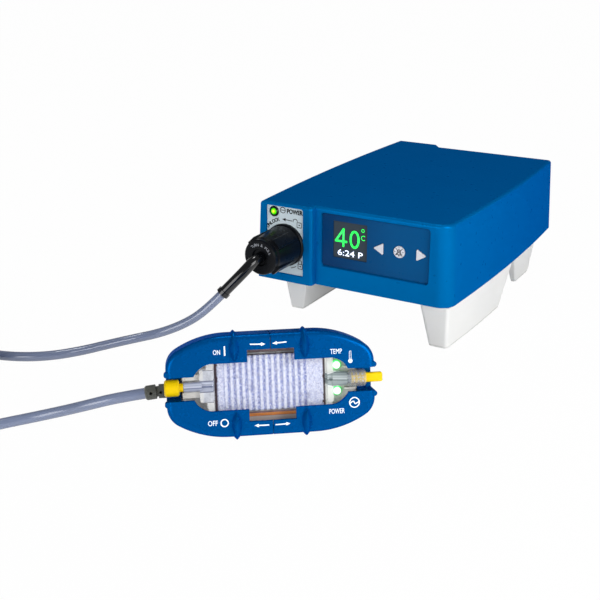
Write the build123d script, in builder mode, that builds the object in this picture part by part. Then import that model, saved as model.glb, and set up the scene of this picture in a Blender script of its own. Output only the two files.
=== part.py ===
"""A blood and fluid warmer: a controller on a stand, and the hand-held warmer on its cable.

Millimetres. +Z is up, +Y runs from the controller's front panel to its back, and the origin
is the middle of the rectangle that the two devices cover on the table, at table height.
"""

import os
from math import ceil, cos, pi, radians, sin, sqrt, tan

from build123d import *

os.makedirs("parts", exist_ok=True)

# Where the controller's centre line and front face stand in the part's frame
controller_x = -2.68
controller_y = -16.37

# Controller case, over its top edges
case_width = 144.5
case_depth = 226.0
case_height = 59.0
stand_height = 30.8
side_lean = 2.7
back_lean = 2.0
side_bow = 3.7
case_wall = 2.5
front_wall = 5.0
case_edge = 2.4
front_corner = 11.0
small_corner = 3.0
plug_bay_width = 42.5
plug_bay_reach = 5.6
rear_bay_left = 36.5
rear_bay_slope = 6.5
rear_bay_reach = 8.5
cover_screw_points = [(-38.5, 30), (44, 30), (-56, 182), (56, 182)]

# Front panel: a recess for the keypad overlay, its display and its three keys
recess_left, recess_right = -25.0, 58.7
recess_low, recess_high = 46.1, 85.5
recess_depth = 2.5
overlay_thickness = 0.9
display_x, display_z, display_size = -2.6, 67.4, 27.2
key_z = 65.8
key_points = [(21.0, key_z), (35.9, key_z), (51.4, key_z)]
key_proud = 0.5
key_travel = 0.4
key_gap = 0.35
plunger_radius = 1.8
dome_face = 6.65

# Plug bay: label plate, lamp and the socket that the plug sits in
label_left, label_right = -67.8, -37.0
label_low, label_high = 36.4, 87.4
label_recess = 2.0
label_thickness = 0.8
lamp_x, lamp_z = -61.4, 82.9
plug_x, plug_z = -52.3, 58.8
socket_radius = 15.8
socket_body_radius = 14.0
plug_end = -39.6

# Mains inlet in the rear wall
inlet_left, inlet_right = 2.0, 60.0
inlet_low, inlet_high = 43.5, 73.5
inlet_face = 226.3
rocker_x, inlet_z = 37.5, 58.5
rocker_tilt = 7.0
drawer_x = 51.5

# Hand-held warmer: its own frame has x along it, y across it and z out of its face
warmer_x = controller_x + 15.9
warmer_y = controller_y - 140.8
warmer_yaw = 37.8
warmer_lean = 15.0
warmer_half_width = 29.5
straight_half = 24.7
shoulder_radius = 57.0
nose_radius = 12.4
base_height = 14.0
cover_low = 14.4
face_height = 31.0
cover_wall = 2.2
notch_half_length, notch_half_width = 13.6, 20.8
window_half_length, window_half_width = 35.2, 13.8
channel_start, channel_half_width = 44.5, 6.9
pocket_start = 52.0
pocket_floor = 17.5
left_fin_x, right_fin_x, fin_y, fin_z = -20.9, 19.6, 22.0, 24.5
fin_thickness = 9.2
deck_height = 17.5
deck_half_length = 51.0
heater_top = 18.2
rib_pitch, rib_count = 3.42, 16
port_z = 24.2
boot_z = 8.45
boot_root = 54.7
boot_bend = 65.3
boot_length = 7.3
boot_droop = 6.0

# Cable
cord_diameter = 6.5
coil_radius = 37.0
coil_pitch = 7.1
coil_layers = 4
coil_x = controller_x - 209.5
coil_y = controller_y - 219.6


def table_plane(height):
    """A level plane over the controller, counted from its centre line and front face."""
    return Plane(origin=(controller_x, controller_y, height))


def panel_plane(depth, x=0.0, z=0.0):
    """An upright plane that faces the user, `depth` behind the front face: local x, z."""
    return Plane(origin=(controller_x + x, controller_y + depth, z), x_dir=(1, 0, 0), z_dir=(0, -1, 0))


# The warmer stands on its long side, leaning back on its drafted base wall and its thumb fins
along = Vector(cos(radians(warmer_yaw)), sin(radians(warmer_yaw)), 0)
toward_user = Vector(sin(radians(warmer_yaw)), -cos(radians(warmer_yaw)), 0)
face_normal = toward_user * cos(radians(warmer_lean)) + Vector(0, 0, 1) * sin(radians(warmer_lean))
across = face_normal.cross(along)
warmer_z = warmer_half_width * cos(radians(warmer_lean)) - base_height * sin(radians(warmer_lean))
warmer_origin = Vector(warmer_x, warmer_y, warmer_z)


def warmer_point(x, y, z):
    """A point of the warmer's own frame, in the part's frame."""
    return warmer_origin + along * x + across * y + face_normal * z


def face_plane(height, x=0.0, y=0.0):
    """A plane parallel to the warmer's face: local x along it, y across it."""
    return Plane(origin=warmer_point(x, y, height), x_dir=along, z_dir=face_normal)


def end_plane(x, y=0.0, z=0.0):
    """A plane across the warmer: local x across it, y towards its face."""
    return Plane(origin=warmer_point(x, y, z), x_dir=across, z_dir=along)


def save(name, shape):
    """Label one node and write it to its file."""
    shape.label = name
    export_step(shape, f"parts/{name}.step")


# Controller case


def case_plan(level, inset=0.0, front_inset=None):
    """The case's outline at a level from 0, its bottom edge, to 1, its top edge."""
    front_inset = inset if front_inset is None else front_inset
    side = case_width / 2 + side_lean * (1 - level) - inset
    back = case_depth + back_lean * (1 - level) - inset
    bay_edge = -case_width / 2 + plug_bay_width - inset
    bay_front = front_inset - plug_bay_reach
    step_left = rear_bay_left - case_width / 2 - inset
    rear = back + rear_bay_reach
    middle = case_depth / 2
    with BuildSketch(table_plane(stand_height + case_height * level)) as plan:
        with BuildLine():
            Polyline((-side, bay_front), (bay_edge, bay_front), (bay_edge, front_inset), (side, front_inset))
            ThreePointArc((side, front_inset), (side + side_bow, middle), (side, back))
            Polyline((side, back), (step_left + rear_bay_slope, back), (step_left, rear), (-side, rear))
            ThreePointArc((-side, rear), (-side - side_bow, middle), (-side, bay_front))
        make_face()
        ordered = plan.vertices().sort_by(Axis.Y)
        right_front = ordered.filter_by(lambda v: v.Y < controller_y + middle).sort_by(Axis.X)[-1]
        fillet([right_front], front_corner - inset)
        corners = plan.vertices().filter_by(lambda v: abs(v.X - controller_x + side) < 1)
        corners += plan.vertices().filter_by(lambda v: v.Y > controller_y + middle).sort_by(Axis.X)[-1:]
        fillet(corners, small_corner)
    return plan.sketch


with BuildPart() as case_cover:
    add(case_plan(0))
    add(case_plan(1))
    loft(ruled=True)
    fillet(case_cover.faces().sort_by(Axis.Z)[-1].edges(), case_edge)
    step_x = controller_x - 29.7
    bay_step = case_cover.edges().filter_by(lambda e: e.length > 50 and abs(e.center().X - step_x) < 2)
    fillet(bay_step.sort_by(Axis.Y)[:1], 2.0)
    # hollow inside, open below
    with BuildPart(mode=Mode.PRIVATE) as cavity:
        add(case_plan(0, case_wall, front_wall))
        add(case_plan(1 - case_wall / case_height, case_wall, front_wall))
        loft(ruled=True)
    add(cavity.part, mode=Mode.SUBTRACT)
    # screw bosses under the top wall
    with BuildSketch(table_plane(stand_height + 2.7)):
        with Locations(*cover_screw_points):
            Circle(4.0)
    extrude(until=Until.NEXT)
    with BuildSketch(table_plane(stand_height + 2.7)):
        with Locations(*cover_screw_points):
            Circle(1.6)
    extrude(amount=14, mode=Mode.SUBTRACT)
    # keypad recess, its sloped rim, and the openings behind it
    with BuildSketch(panel_plane(recess_depth)):
        with Locations(((recess_left + recess_right) / 2, (recess_low + recess_high) / 2)):
            RectangleRounded(recess_right - recess_left, recess_high - recess_low, 2.0)
    extrude(amount=recess_depth + 1, taper=-12, mode=Mode.SUBTRACT)
    with BuildSketch(panel_plane(recess_depth)):
        with Locations((display_x, display_z)):
            Rectangle(30.0, 30.0)
        with Locations(*key_points):
            Circle(plunger_radius + 0.3)
    extrude(amount=-(front_wall - recess_depth), mode=Mode.SUBTRACT)
    with BuildSketch(panel_plane(recess_depth)):
        with Locations(*key_points):
            Circle(6.2)
    extrude(amount=-0.9, mode=Mode.SUBTRACT)
    # label recess, socket hole and lamp hole
    with BuildSketch(panel_plane(-plug_bay_reach)):
        with Locations(((label_left + label_right) / 2, (label_low + label_high) / 2)):
            RectangleRounded(label_right - label_left, label_high - label_low, 1.5)
        with Locations((plug_x, plug_z)):
            Circle(socket_radius + 0.2)
    extrude(amount=-label_recess, mode=Mode.SUBTRACT)
    with BuildSketch(panel_plane(-plug_bay_reach)):
        with Locations((plug_x, plug_z)):
            Circle(socket_body_radius + 0.1)
        with Locations((lamp_x, lamp_z)):
            Circle(3.1)
    extrude(amount=-front_wall - 1, mode=Mode.SUBTRACT)
    # rear recess and cut-out for the mains inlet
    inlet_mid = ((inlet_left + inlet_right) / 2, (inlet_low + inlet_high) / 2)
    with BuildSketch(panel_plane(inlet_face)):
        with Locations(inlet_mid):
            Rectangle(inlet_right - inlet_left + 0.4, inlet_high - inlet_low + 0.4)
    extrude(amount=-6, mode=Mode.SUBTRACT)
    with BuildSketch(panel_plane(inlet_face)):
        with Locations(inlet_mid):
            Rectangle(inlet_right - inlet_left - 2.6, inlet_high - inlet_low - 2.6)
    extrude(amount=8, mode=Mode.SUBTRACT)
save("case_cover", case_cover.part)


with BuildPart() as case_bottom:
    add(case_plan(0, case_wall + 0.3, front_wall + 0.3))
    extrude(amount=2.5)
    # posts that carry the main board and the power board
    with BuildSketch(table_plane(stand_height + 2.5)):
        with Locations(*[(x, y) for x in (-18, 52) for y in (70, 150)]):
            Circle(3.0)
        with Locations(*[(x, y) for x in (-62, -34) for y in (70, 160)]):
            Circle(3.0)
    extrude(amount=6.0)
    with BuildSketch(table_plane(stand_height)):
        with Locations(*cover_screw_points):
            Circle(2.3)
    extrude(amount=2.5, mode=Mode.SUBTRACT)
    # ventilation slots
    with BuildSketch(table_plane(stand_height)):
        with GridLocations(0, 9.0, 1, 6):
            with Locations((15, 112)):
                SlotOverall(46, 3.0)
    extrude(amount=2.5, mode=Mode.SUBTRACT)
save("case_bottom", case_bottom.part)


# White stand: a plate with four hollow legs, each on a rubber foot


def bowed_side(y, level=0.0):
    """Half the case's width at a distance y behind its front face."""
    share = y / case_depth
    return case_width / 2 + side_lean * (1 - level) + 4 * side_bow * share * (1 - share)


foot_thickness = 1.5

# each leg: name of its side, then x and y reaches at the top and at the floor
right_front = [(52.0, bowed_side(0) - 0.6, 2.0, 126.0), (59.2, bowed_side(0) - 1.2, 3.5, 102.0)]
right_back = [(63.0, 71.0, 146.0, 204.0), (64.9, 69.4, 161.0, 194.0)]
left_front = [(-64.8, -43.8, 14.0, 126.0), (-62.2, -51.1, 20.0, 104.0)]
left_back = [(-71.0, -63.0, 146.0, 204.0), (-69.4, -64.9, 161.0, 194.0)]
legs = [right_front, right_back, left_front, left_back]


def leg_section(reach, height, inset=0.0):
    """One level section of a leg, bowed like the case where it follows the case's side."""
    x0, x1, y0, y1 = reach
    x0, x1, y0, y1 = x0 + inset, x1 - inset, y0 + inset, y1 - inset
    bow = 3.3 if x1 > 72 else 0.0
    with BuildSketch(table_plane(height)) as section:
        with BuildLine():
            Polyline((x1 + bow, y1), (x0, y1), (x0, y0), (x1, y0))
            if bow:
                ThreePointArc((x1, y0), (x1 + bow * 0.78, (y0 + y1) / 2), (x1 + bow, y1))
            else:
                Line((x1, y0), (x1, y1))
        make_face()
        fillet(section.vertices(), 2.6 if bow else 1.2)
    return section.sketch


def pocket_reach(reach):
    """A leg's hollow, drawn in so far that its slanted walls stay two millimetres thick."""
    x0, x1, y0, y1 = reach
    return x0 + 2.0, x1 - 2.0, y0 + 3.0, y1 - 4.0


with BuildPart() as stand:
    with BuildSketch(table_plane(stand_height - 3.0)):
        with Locations((0, 108)):
            RectangleRounded(128, 200, 6)
    extrude(amount=3.0)
    for top, floor_reach in legs:
        with BuildPart(mode=Mode.PRIVATE) as leg:
            add(leg_section(top, stand_height))
            add(leg_section(floor_reach, foot_thickness))
            loft(ruled=True)
        add(leg.part)
    for top, floor_reach in legs[0:1] + legs[2:3]:
        with BuildPart(mode=Mode.PRIVATE) as pocket:
            add(leg_section(pocket_reach(top), stand_height))
            add(leg_section(pocket_reach(floor_reach), foot_thickness + 3.0))
            loft(ruled=True)
        add(pocket.part, mode=Mode.SUBTRACT)
    with BuildSketch(table_plane(stand_height - 3.0)):
        with Locations(*cover_screw_points):
            Circle(2.3)
    extrude(amount=3.0, mode=Mode.SUBTRACT)
    with BuildSketch(table_plane(stand_height - 3.0)):
        with Locations((15, 112)):
            RectangleRounded(60, 60, 5)
    extrude(amount=3.0, mode=Mode.SUBTRACT)
save("stand", stand.part)


with BuildPart() as stand_feet:
    for top, floor_reach in legs:
        add(leg_section(floor_reach, 0.0, 0.4))
    extrude(amount=foot_thickness)
save("stand_feet", stand_feet.part)


def round_bar(plane, points, radius, length):
    """Round bars of one radius that stand on a plane: screws, posts, pins and capacitors."""
    with BuildPart() as bars:
        with BuildSketch(plane):
            with Locations(*points):
                Circle(radius)
        extrude(amount=length)
    return bars.part


with BuildPart() as case_screws:
    add(round_bar(table_plane(stand_height - 5.2), cover_screw_points, 3.5, 2.2))
    add(round_bar(table_plane(stand_height - 3.0), cover_screw_points, 1.55, 14.0))
    with BuildSketch(table_plane(stand_height - 5.2)):
        with Locations(*cover_screw_points):
            Rectangle(0.9, 4.2)
            Rectangle(4.2, 0.9)
    extrude(amount=1.2, mode=Mode.SUBTRACT)
save("case_screws", case_screws.part)


# Keypad: overlay, display, three keys and the board behind them

triangle_height = 8.7


def key_outline(index, grow=0.0):
    """The outline of one key: left arrow, round mute key or right arrow."""
    half = triangle_height / 2
    corners = {
        0: [(15.9, key_z), (23.6, key_z - half), (23.6, key_z + half)],
        2: [(56.2, key_z), (48.9, key_z + half), (48.9, key_z - half)],
    }
    with BuildSketch() as outline:
        if index == 1:
            with Locations(key_points[1]):
                Circle(4.25 + grow)
        else:
            with BuildLine():
                Polyline(*corners[index], close=True)
            make_face()
            fillet(outline.vertices(), 0.6)
            if grow:
                offset(amount=grow)
    return outline.sketch


with BuildPart() as keypad_overlay:
    with BuildSketch(panel_plane(recess_depth)):
        with Locations(((recess_left + recess_right) / 2, (recess_low + recess_high) / 2)):
            RectangleRounded(recess_right - recess_left - 0.5, recess_high - recess_low - 0.5, 1.8)
        with Locations((display_x, display_z)):
            RectangleRounded(display_size, display_size, 0.8, mode=Mode.SUBTRACT)
        for index in range(3):
            add(key_outline(index, key_gap), mode=Mode.SUBTRACT)
    extrude(amount=overlay_thickness)
save("keypad_overlay", keypad_overlay.part)


def make_key(index):
    """One key cap with the plunger that reaches through the case to its dome."""
    with BuildPart() as key:
        with BuildSketch(panel_plane(recess_depth + 0.1)):
            add(key_outline(index))
        extrude(amount=0.1 + overlay_thickness + key_proud)
        fillet(key.faces().sort_by(Axis.Y)[0].edges(), 0.3)
        with BuildSketch(panel_plane(recess_depth + 0.1)):
            with Locations(key_points[index]):
                Circle(plunger_radius)
        extrude(amount=-(dome_face - key_travel - recess_depth - 0.15))
    return key.part


for index, key_name in enumerate(["key_left", "key_mute", "key_right"]):
    save(key_name, make_key(index))

with BuildPart() as display_window:
    with BuildSketch(panel_plane(recess_depth)):
        with Locations((display_x, display_z)):
            Rectangle(29.8, 29.8)
    extrude(amount=-1.2)
save("display_window", display_window.part)

with BuildPart() as display_module:
    with BuildSketch(panel_plane(recess_depth + 1.2)):
        with Locations((display_x, display_z)):
            Rectangle(29.6, 29.6)
    extrude(amount=-(front_wall - recess_depth - 1.2))
    with BuildSketch(panel_plane(front_wall)):
        with Locations((display_x, display_z - 1)):
            RectangleRounded(33.0, 37.0, 1)
    extrude(amount=-3.0)
    with BuildSketch(panel_plane(front_wall + 3.0)):
        with Locations((display_x, display_z - 13)):
            Rectangle(18.0, 5.0)
    extrude(amount=-2.0)
save("display_module", display_module.part)

with BuildPart() as key_domes:
    for point in key_points:
        with BuildSketch(panel_plane(dome_face + 0.35)):
            with Locations(point):
                Circle(3.2)
        extrude(amount=0.35, taper=30)
save("key_domes", key_domes.part)

with BuildPart() as keypad_board:
    with BuildSketch(panel_plane(dome_face + 0.35)):
        with Locations((37.0, key_z)):
            RectangleRounded(45.0, 18.0, 1)
    extrude(amount=-1.6)
    # four posts hold the board off the case's front wall
    with BuildSketch(panel_plane(front_wall)):
        with GridLocations(41.0, 14.0, 2, 2):
            with Locations((37.0, key_z)):
                Circle(1.2)
    extrude(amount=-(dome_face + 0.35 - front_wall))
save("keypad_board", keypad_board.part)


# Plug bay: label plate, lamp, socket and plug

label_face = -plug_bay_reach + label_recess - label_thickness
with BuildPart() as label_plate:
    with BuildSketch(panel_plane(label_face + label_thickness)):
        with Locations(((label_left + label_right) / 2, (label_low + label_high) / 2)):
            RectangleRounded(label_right - label_left - 0.4, label_high - label_low - 0.4, 1.3)
        with Locations((plug_x, plug_z)):
            Circle(socket_body_radius + 0.1, mode=Mode.SUBTRACT)
        with Locations((lamp_x, lamp_z)):
            Circle(3.1, mode=Mode.SUBTRACT)
    extrude(amount=label_thickness)
save("label_plate", label_plate.part)

lamp_flange_radius, lamp_lens_radius = 3.9, 2.6


def turned(plane, profile):
    """Turn a closed profile, given as radius and height points, about a plane's normal."""
    upright = Plane(origin=plane.origin, x_dir=plane.x_dir, z_dir=-plane.y_dir)
    with BuildPart() as body:
        with BuildSketch(upright):
            with BuildLine():
                Polyline(*profile, close=True)
            make_face()
        revolve(axis=Axis(plane.origin, plane.z_dir))
    return body.part


lamp_plane = panel_plane(label_face, lamp_x, lamp_z)
with BuildPart() as lamp_bezel:
    add(turned(lamp_plane, [(lamp_lens_radius, -6.5), (3.0, -6.5), (3.0, 0), (lamp_flange_radius, 0),
                            (lamp_flange_radius, 0.7), (3.3, 1.3), (lamp_lens_radius, 1.3)]))
save("lamp_bezel", lamp_bezel.part)

lens_rim, lens_top = 0.9, 2.3
dome_rise = lens_top - lens_rim
dome_radius = (lamp_lens_radius**2 + dome_rise**2) / (2 * dome_rise)
with BuildPart() as lamp_lens:
    with BuildSketch(lamp_plane.offset(-8.0)):
        Circle(lamp_lens_radius - 0.01)
    extrude(amount=8.0 + lens_rim)
    with BuildPart(mode=Mode.PRIVATE) as lens_dome:
        with BuildSketch(lamp_plane.offset(lens_rim - 0.2)):
            Circle(lamp_lens_radius - 0.01)
        extrude(amount=3.0)
        with Locations(lamp_plane.offset(lens_top - dome_radius)):
            Sphere(dome_radius, mode=Mode.INTERSECT)
    add(lens_dome.part)
save("lamp_lens", lamp_lens.part)

# heights here are counted out from the label plate's face, towards the user
plug_plane = panel_plane(label_face, plug_x, plug_z)
socket_front = 2.6
socket_bore = 11.9
socket_depth = 8.0
socket_tail = 14.0
plug_length = label_face - plug_end
pin_points = [(4.6 * cos(radians(a)), 4.6 * sin(radians(a))) for a in (45, 135, 225, 315)]

with BuildPart() as output_socket:
    add(turned(plug_plane, [(0, -socket_tail), (socket_body_radius, -socket_tail), (socket_body_radius, 0),
                            (socket_radius, 0), (socket_radius, socket_front - 0.8),
                            (socket_radius - 0.8, socket_front), (socket_bore, socket_front),
                            (socket_bore, -socket_depth), (0, -socket_depth)]))
    with BuildSketch(plug_plane.offset(-socket_tail)):
        with Locations(*pin_points):
            Circle(1.05)
    extrude(amount=socket_tail - socket_depth, mode=Mode.SUBTRACT)
save("output_socket", output_socket.part)

wall_inside = -label_face - plug_bay_reach + front_wall
with BuildPart() as socket_nut:
    with BuildSketch(plug_plane.offset(-wall_inside - 4.0)):
        RegularPolygon(17.0, 6)
        Circle(socket_body_radius, mode=Mode.SUBTRACT)
    extrude(amount=4.0)
save("socket_nut", socket_nut.part)

save("socket_contacts", round_bar(plug_plane.offset(-socket_tail - 3.0), pin_points, 1.05, 14.0))

core_radius = 9.8
core_nose_radius = 11.8
sleeve_bore = 10.2
sleeve_front = socket_front + 0.4
cap_height = 3.6
sleeve_back = plug_length - cap_height - 0.3
sleeve_radius_front, sleeve_radius_back = 14.9, 13.1
rear_cap_radius = 12.9

with BuildPart() as plug_core:
    add(turned(plug_plane, [(0, -socket_depth + 0.5), (core_nose_radius, -socket_depth + 0.5),
                            (core_nose_radius, 1.5), (core_radius, 1.5), (core_radius, sleeve_back - 3.0),
                            (0, sleeve_back - 3.0)]))
    with BuildSketch(plug_plane.offset(-socket_depth)):
        with Locations(*pin_points):
            Circle(1.35)
    extrude(amount=9.0, mode=Mode.SUBTRACT)
save("plug_core", plug_core.part)

with BuildPart() as plug_sleeve:
    add(turned(plug_plane, [(sleeve_bore, sleeve_front), (sleeve_radius_front - 0.8, sleeve_front),
                            (sleeve_radius_front, sleeve_front + 0.8), (sleeve_radius_front - 0.3, 8.0),
                            (sleeve_radius_back + 0.4, sleeve_back - 1.6),
                            (sleeve_radius_back, sleeve_back - 0.4), (sleeve_radius_back - 0.5, sleeve_back),
                            (sleeve_bore, sleeve_back)]))
    # four raised grips along the sleeve
    for turn in range(4):
        angle = 45 + 90 * turn
        with BuildSketch(plug_plane.offset(8.5)):
            with PolarLocations(sleeve_radius_back + 0.1, 1, start_angle=angle - 90):
                RectangleRounded(3.0, 8.0, 1.0)
        extrude(amount=21.5)
save("plug_sleeve", plug_sleeve.part)

boot_radius = 4.0
cap_mouth_radius = 6.4
with BuildPart() as plug_back_cap:
    add(turned(plug_plane, [(boot_radius, sleeve_back - 2.7), (core_radius, sleeve_back - 2.7),
                            (core_radius, sleeve_back + 0.3), (rear_cap_radius, sleeve_back + 0.3),
                            (rear_cap_radius, plug_length - 0.8), (rear_cap_radius - 0.8, plug_length),
                            (cap_mouth_radius, plug_length), (cap_mouth_radius - 0.6, plug_length - 1.6),
                            (boot_radius, plug_length - 1.6)]))
save("plug_back_cap", plug_back_cap.part)


# Cable: a black boot at the plug, two free stretches, and the put-away length in a coil


def bench(x, y, z):
    """A point counted from the controller's centre line, its front face and the table."""
    return Vector(controller_x + x, controller_y + y, z)


def corner_radii(route):
    """The largest arcs that a route's runs allow, one for each inner point."""
    radii = []
    for before, here, after in zip(route, route[1:], route[2:]):
        run_in, run_out = here - before, after - here
        half_turn = radians(run_in.get_angle(run_out)) / 2
        radii.append(0.45 * min(run_in.length, run_out.length) / tan(half_turn))
    return radii


def tube(name, route, radius):
    """Sweep a round tube along straight runs joined by tangent arcs, and print its sizes."""
    radii = corner_radii(route)
    with BuildPart() as swept:
        with BuildLine() as line:
            FilletPolyline(*route, radius=radii)
        with BuildSketch(Plane(origin=route[0], z_dir=route[1] - route[0])):
            Circle(radius)
        sweep()
    length = sum(edge.length for edge in line.edges())
    print(name, "length", round(length, 1), "radii", [round(r) for r in radii],
          "volume ratio", round(swept.part.volume / (pi * radius**2 * length), 4))
    return swept.part


boot_route = [
    bench(plug_x, plug_end + 2.4, plug_z),
    bench(plug_x, -47.0, 58.6),
    bench(-57.5, -54.5, 50.5),
    bench(-69.1, -62.9, 36.0),
]
with BuildPart() as plug_boot:
    add(tube("plug_boot", boot_route, boot_radius - 0.1))
    # a collar at the boot's end
    boot_way = (boot_route[-1] - boot_route[-2]).normalized()
    with BuildSketch(Plane(origin=boot_route[-1] - boot_way * 3.0, z_dir=boot_way)):
        Circle(boot_radius + 0.7)
    extrude(amount=3.0)
save("plug_boot", plug_boot.part)

# The coil's middle line: it spirals in and out at a steady rate and climbs where it turns back
coil_start, coil_end = radians(101.5), radians(270 + 11 * 360)
coil_turn = coil_end - coil_start
layer_turn = coil_turn / coil_layers
coil_spread = coil_pitch * layer_turn / (2 * pi)
coil_centre = Vector(coil_x, coil_y, cord_diameter / 2)


def coil_point(turn):
    """A point of the coil's middle line after turning this far, in radians."""
    share = turn / layer_turn
    swing = abs(share % 2 - 1)
    radius = coil_radius + (swing - 0.5) * coil_spread
    height = 0.0
    for layer in range(1, coil_layers):
        height += coil_pitch * min(1.0, max(0.0, (turn - layer * layer_turn) / pi + 0.5))
    angle = coil_start + turn
    return coil_centre + Vector(radius * cos(angle), radius * sin(angle), height)


def coil_way(turn):
    """The direction in which the coil's middle line runs there."""
    step = 0.02
    return (coil_point(turn + step) - coil_point(turn - step)).normalized()


def biarc(start, start_way, end, end_way):
    """Two tangent arcs between two points with given directions."""
    gap = end - start
    ways = start_way + end_way
    spread = 2 * (1 - start_way.dot(end_way))
    reach = (sqrt(gap.dot(ways) ** 2 + spread * gap.dot(gap)) - gap.dot(ways)) / spread
    first, last = start + start_way * reach, end - end_way * reach
    middle = (first + last) * 0.5
    TangentArc(start, middle, tangent=start_way)
    TangentArc(middle, end, tangent=(last - first).normalized())


coil_steps = ceil(coil_turn / (pi / 2))
coil_turns = [coil_turn * step / coil_steps for step in range(coil_steps + 1)]
coil_entry = coil_point(0) - coil_way(0) * cord_diameter
coil_exit = coil_point(coil_turn) + coil_way(coil_turn) * cord_diameter

with BuildPart() as cord_coil:
    with BuildLine() as coil_line:
        Line(coil_entry, coil_point(0))
        for turn, following in zip(coil_turns, coil_turns[1:]):
            biarc(coil_point(turn), coil_way(turn), coil_point(following), coil_way(following))
        Line(coil_point(coil_turn), coil_exit)
    with BuildSketch(Plane(origin=coil_entry, z_dir=coil_way(0))):
        Circle(cord_diameter / 2)
    sweep()
coil_length = sum(edge.length for edge in coil_line.edges())
samples = [coil_point(coil_turn * i / 1200) for i in range(1201)]
turn_gap = min((a - b).length for i, a in enumerate(samples) for b in samples[i + 60:]) - cord_diameter
print("cord_coil length", round(coil_length, 1), "least gap", round(turn_gap, 2), "volume ratio",
      round(cord_coil.part.volume / (pi * (cord_diameter / 2) ** 2 * coil_length), 4))
save("cord_coil", cord_coil.part)

plug_cord_route = [
    boot_route[-1],
    boot_route[-1] + boot_way * 18.0,
    bench(-94.0, -76.5, 12.5),
    bench(-110.0, -84.0, 5.2),
    bench(-122.5, -97.0, 3.25),
    bench(-131.5, -114.0, 3.25),
    bench(-140.0, -132.0, 3.25),
    bench(-153.0, -150.0, 3.25),
    bench(-173.0, -163.0, 3.25),
    coil_entry - coil_way(0) * 16.0,
    coil_entry,
]
save("cord_to_plug", tube("cord_to_plug", plug_cord_route, cord_diameter / 2))

boot_y = -4.2
boot_bend_point = warmer_point(-boot_bend, boot_y, boot_z)
boot_out = along * -cos(radians(boot_droop)) - across * sin(radians(boot_droop))
cord_leave = boot_bend_point + boot_out * (boot_length + 0.2)
warmer_cord_route = [
    cord_leave,
    cord_leave + boot_out * 17.0,
    bench(-63.0, -211.5, 16.0),
    bench(-80.0, -215.0, 9.3),
    bench(-95.0, -222.5, 4.9),
    bench(-107.0, -234.5, 3.25),
    bench(-116.0, -249.0, 3.25),
    bench(-130.0, -260.5, 3.25),
    bench(-149.0, -266.0, 8.0),
    bench(-168.0, -267.5, 16.4),
    coil_exit + coil_way(coil_turn) * 17.0,
    coil_exit,
]
save("cord_to_warmer", tube("cord_to_warmer", warmer_cord_route, cord_diameter / 2))


# Electronics on the case's bottom plate

board_level = stand_height + 8.5


def board(name, x0, x1, y0, y1, level=board_level):
    """A plain circuit board with rounded corners."""
    with BuildPart() as plate:
        with BuildSketch(table_plane(level)):
            with Locations(((x0 + x1) / 2, (y0 + y1) / 2)):
                RectangleRounded(x1 - x0, y1 - y0, 2)
        extrude(amount=1.6)
    save(name, plate.part)


def blocks(name, level, sizes):
    """Parts that stand on a board: x, y, width, depth and height of each."""
    with BuildPart() as group:
        for x, y, wide, deep, high in sizes:
            with BuildSketch(table_plane(level)):
                with Locations((x, y)):
                    RectangleRounded(wide, deep, 0.8)
            extrude(amount=high)
    save(name, group.part)


board("main_board", -24, 58, 62, 158)
board("power_board", -68, -28, 62, 168)
parts_level = board_level + 1.6
blocks("board_components", parts_level, [
    (-4, 84, 18, 18, 2.4), (26, 84, 14, 14, 2.0), (44, 90, 8, 12, 3.0), (2, 120, 12, 22, 9.0),
    (30, 118, 22, 8, 6.5), (-14, 146, 10, 16, 11.0), (20, 146, 30, 7, 9.0), (46, 138, 10, 10, 5.0),
])
blocks("power_transformer", parts_level, [(-45, 118, 28, 26, 23)])
blocks("heat_sink", parts_level, [(-64.5, 102 + 8 * fin, 4, 3, 26) for fin in range(6)]
       + [(-61.4, 122, 2.2, 48, 26)])
save("power_capacitors", round_bar(table_plane(parts_level), [(-56, 82), (-40, 82), (-48, 148)], 7.0, 24.0))
save("alarm_sounder", round_bar(table_plane(parts_level), [(50, 113)], 5.5, 8.5))


# Mains inlet in the rear wall: pins, power rocker and fuse drawer

inlet_flange = 2.3
inlet_back = 198.0
inlet_x = 16.0
pin_places = [(inlet_x - 7.0, inlet_z - 1.5), (inlet_x, inlet_z + 3.0), (inlet_x + 7.0, inlet_z - 1.5)]
drawer_wide, drawer_high, drawer_deep = 9.0, 21.0, 24.0
rocker_wide, rocker_high = 12.6, 21.0
pin_radius, pin_reach = 1.0, 0.9
rocker_pivot_y = inlet_face + inlet_flange - 1.8
rocker_plane = Plane(origin=(controller_x + rocker_x, controller_y + rocker_pivot_y, inlet_z),
                     x_dir=(0, cos(radians(rocker_tilt)), sin(radians(rocker_tilt))), z_dir=(1, 0, 0))

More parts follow.
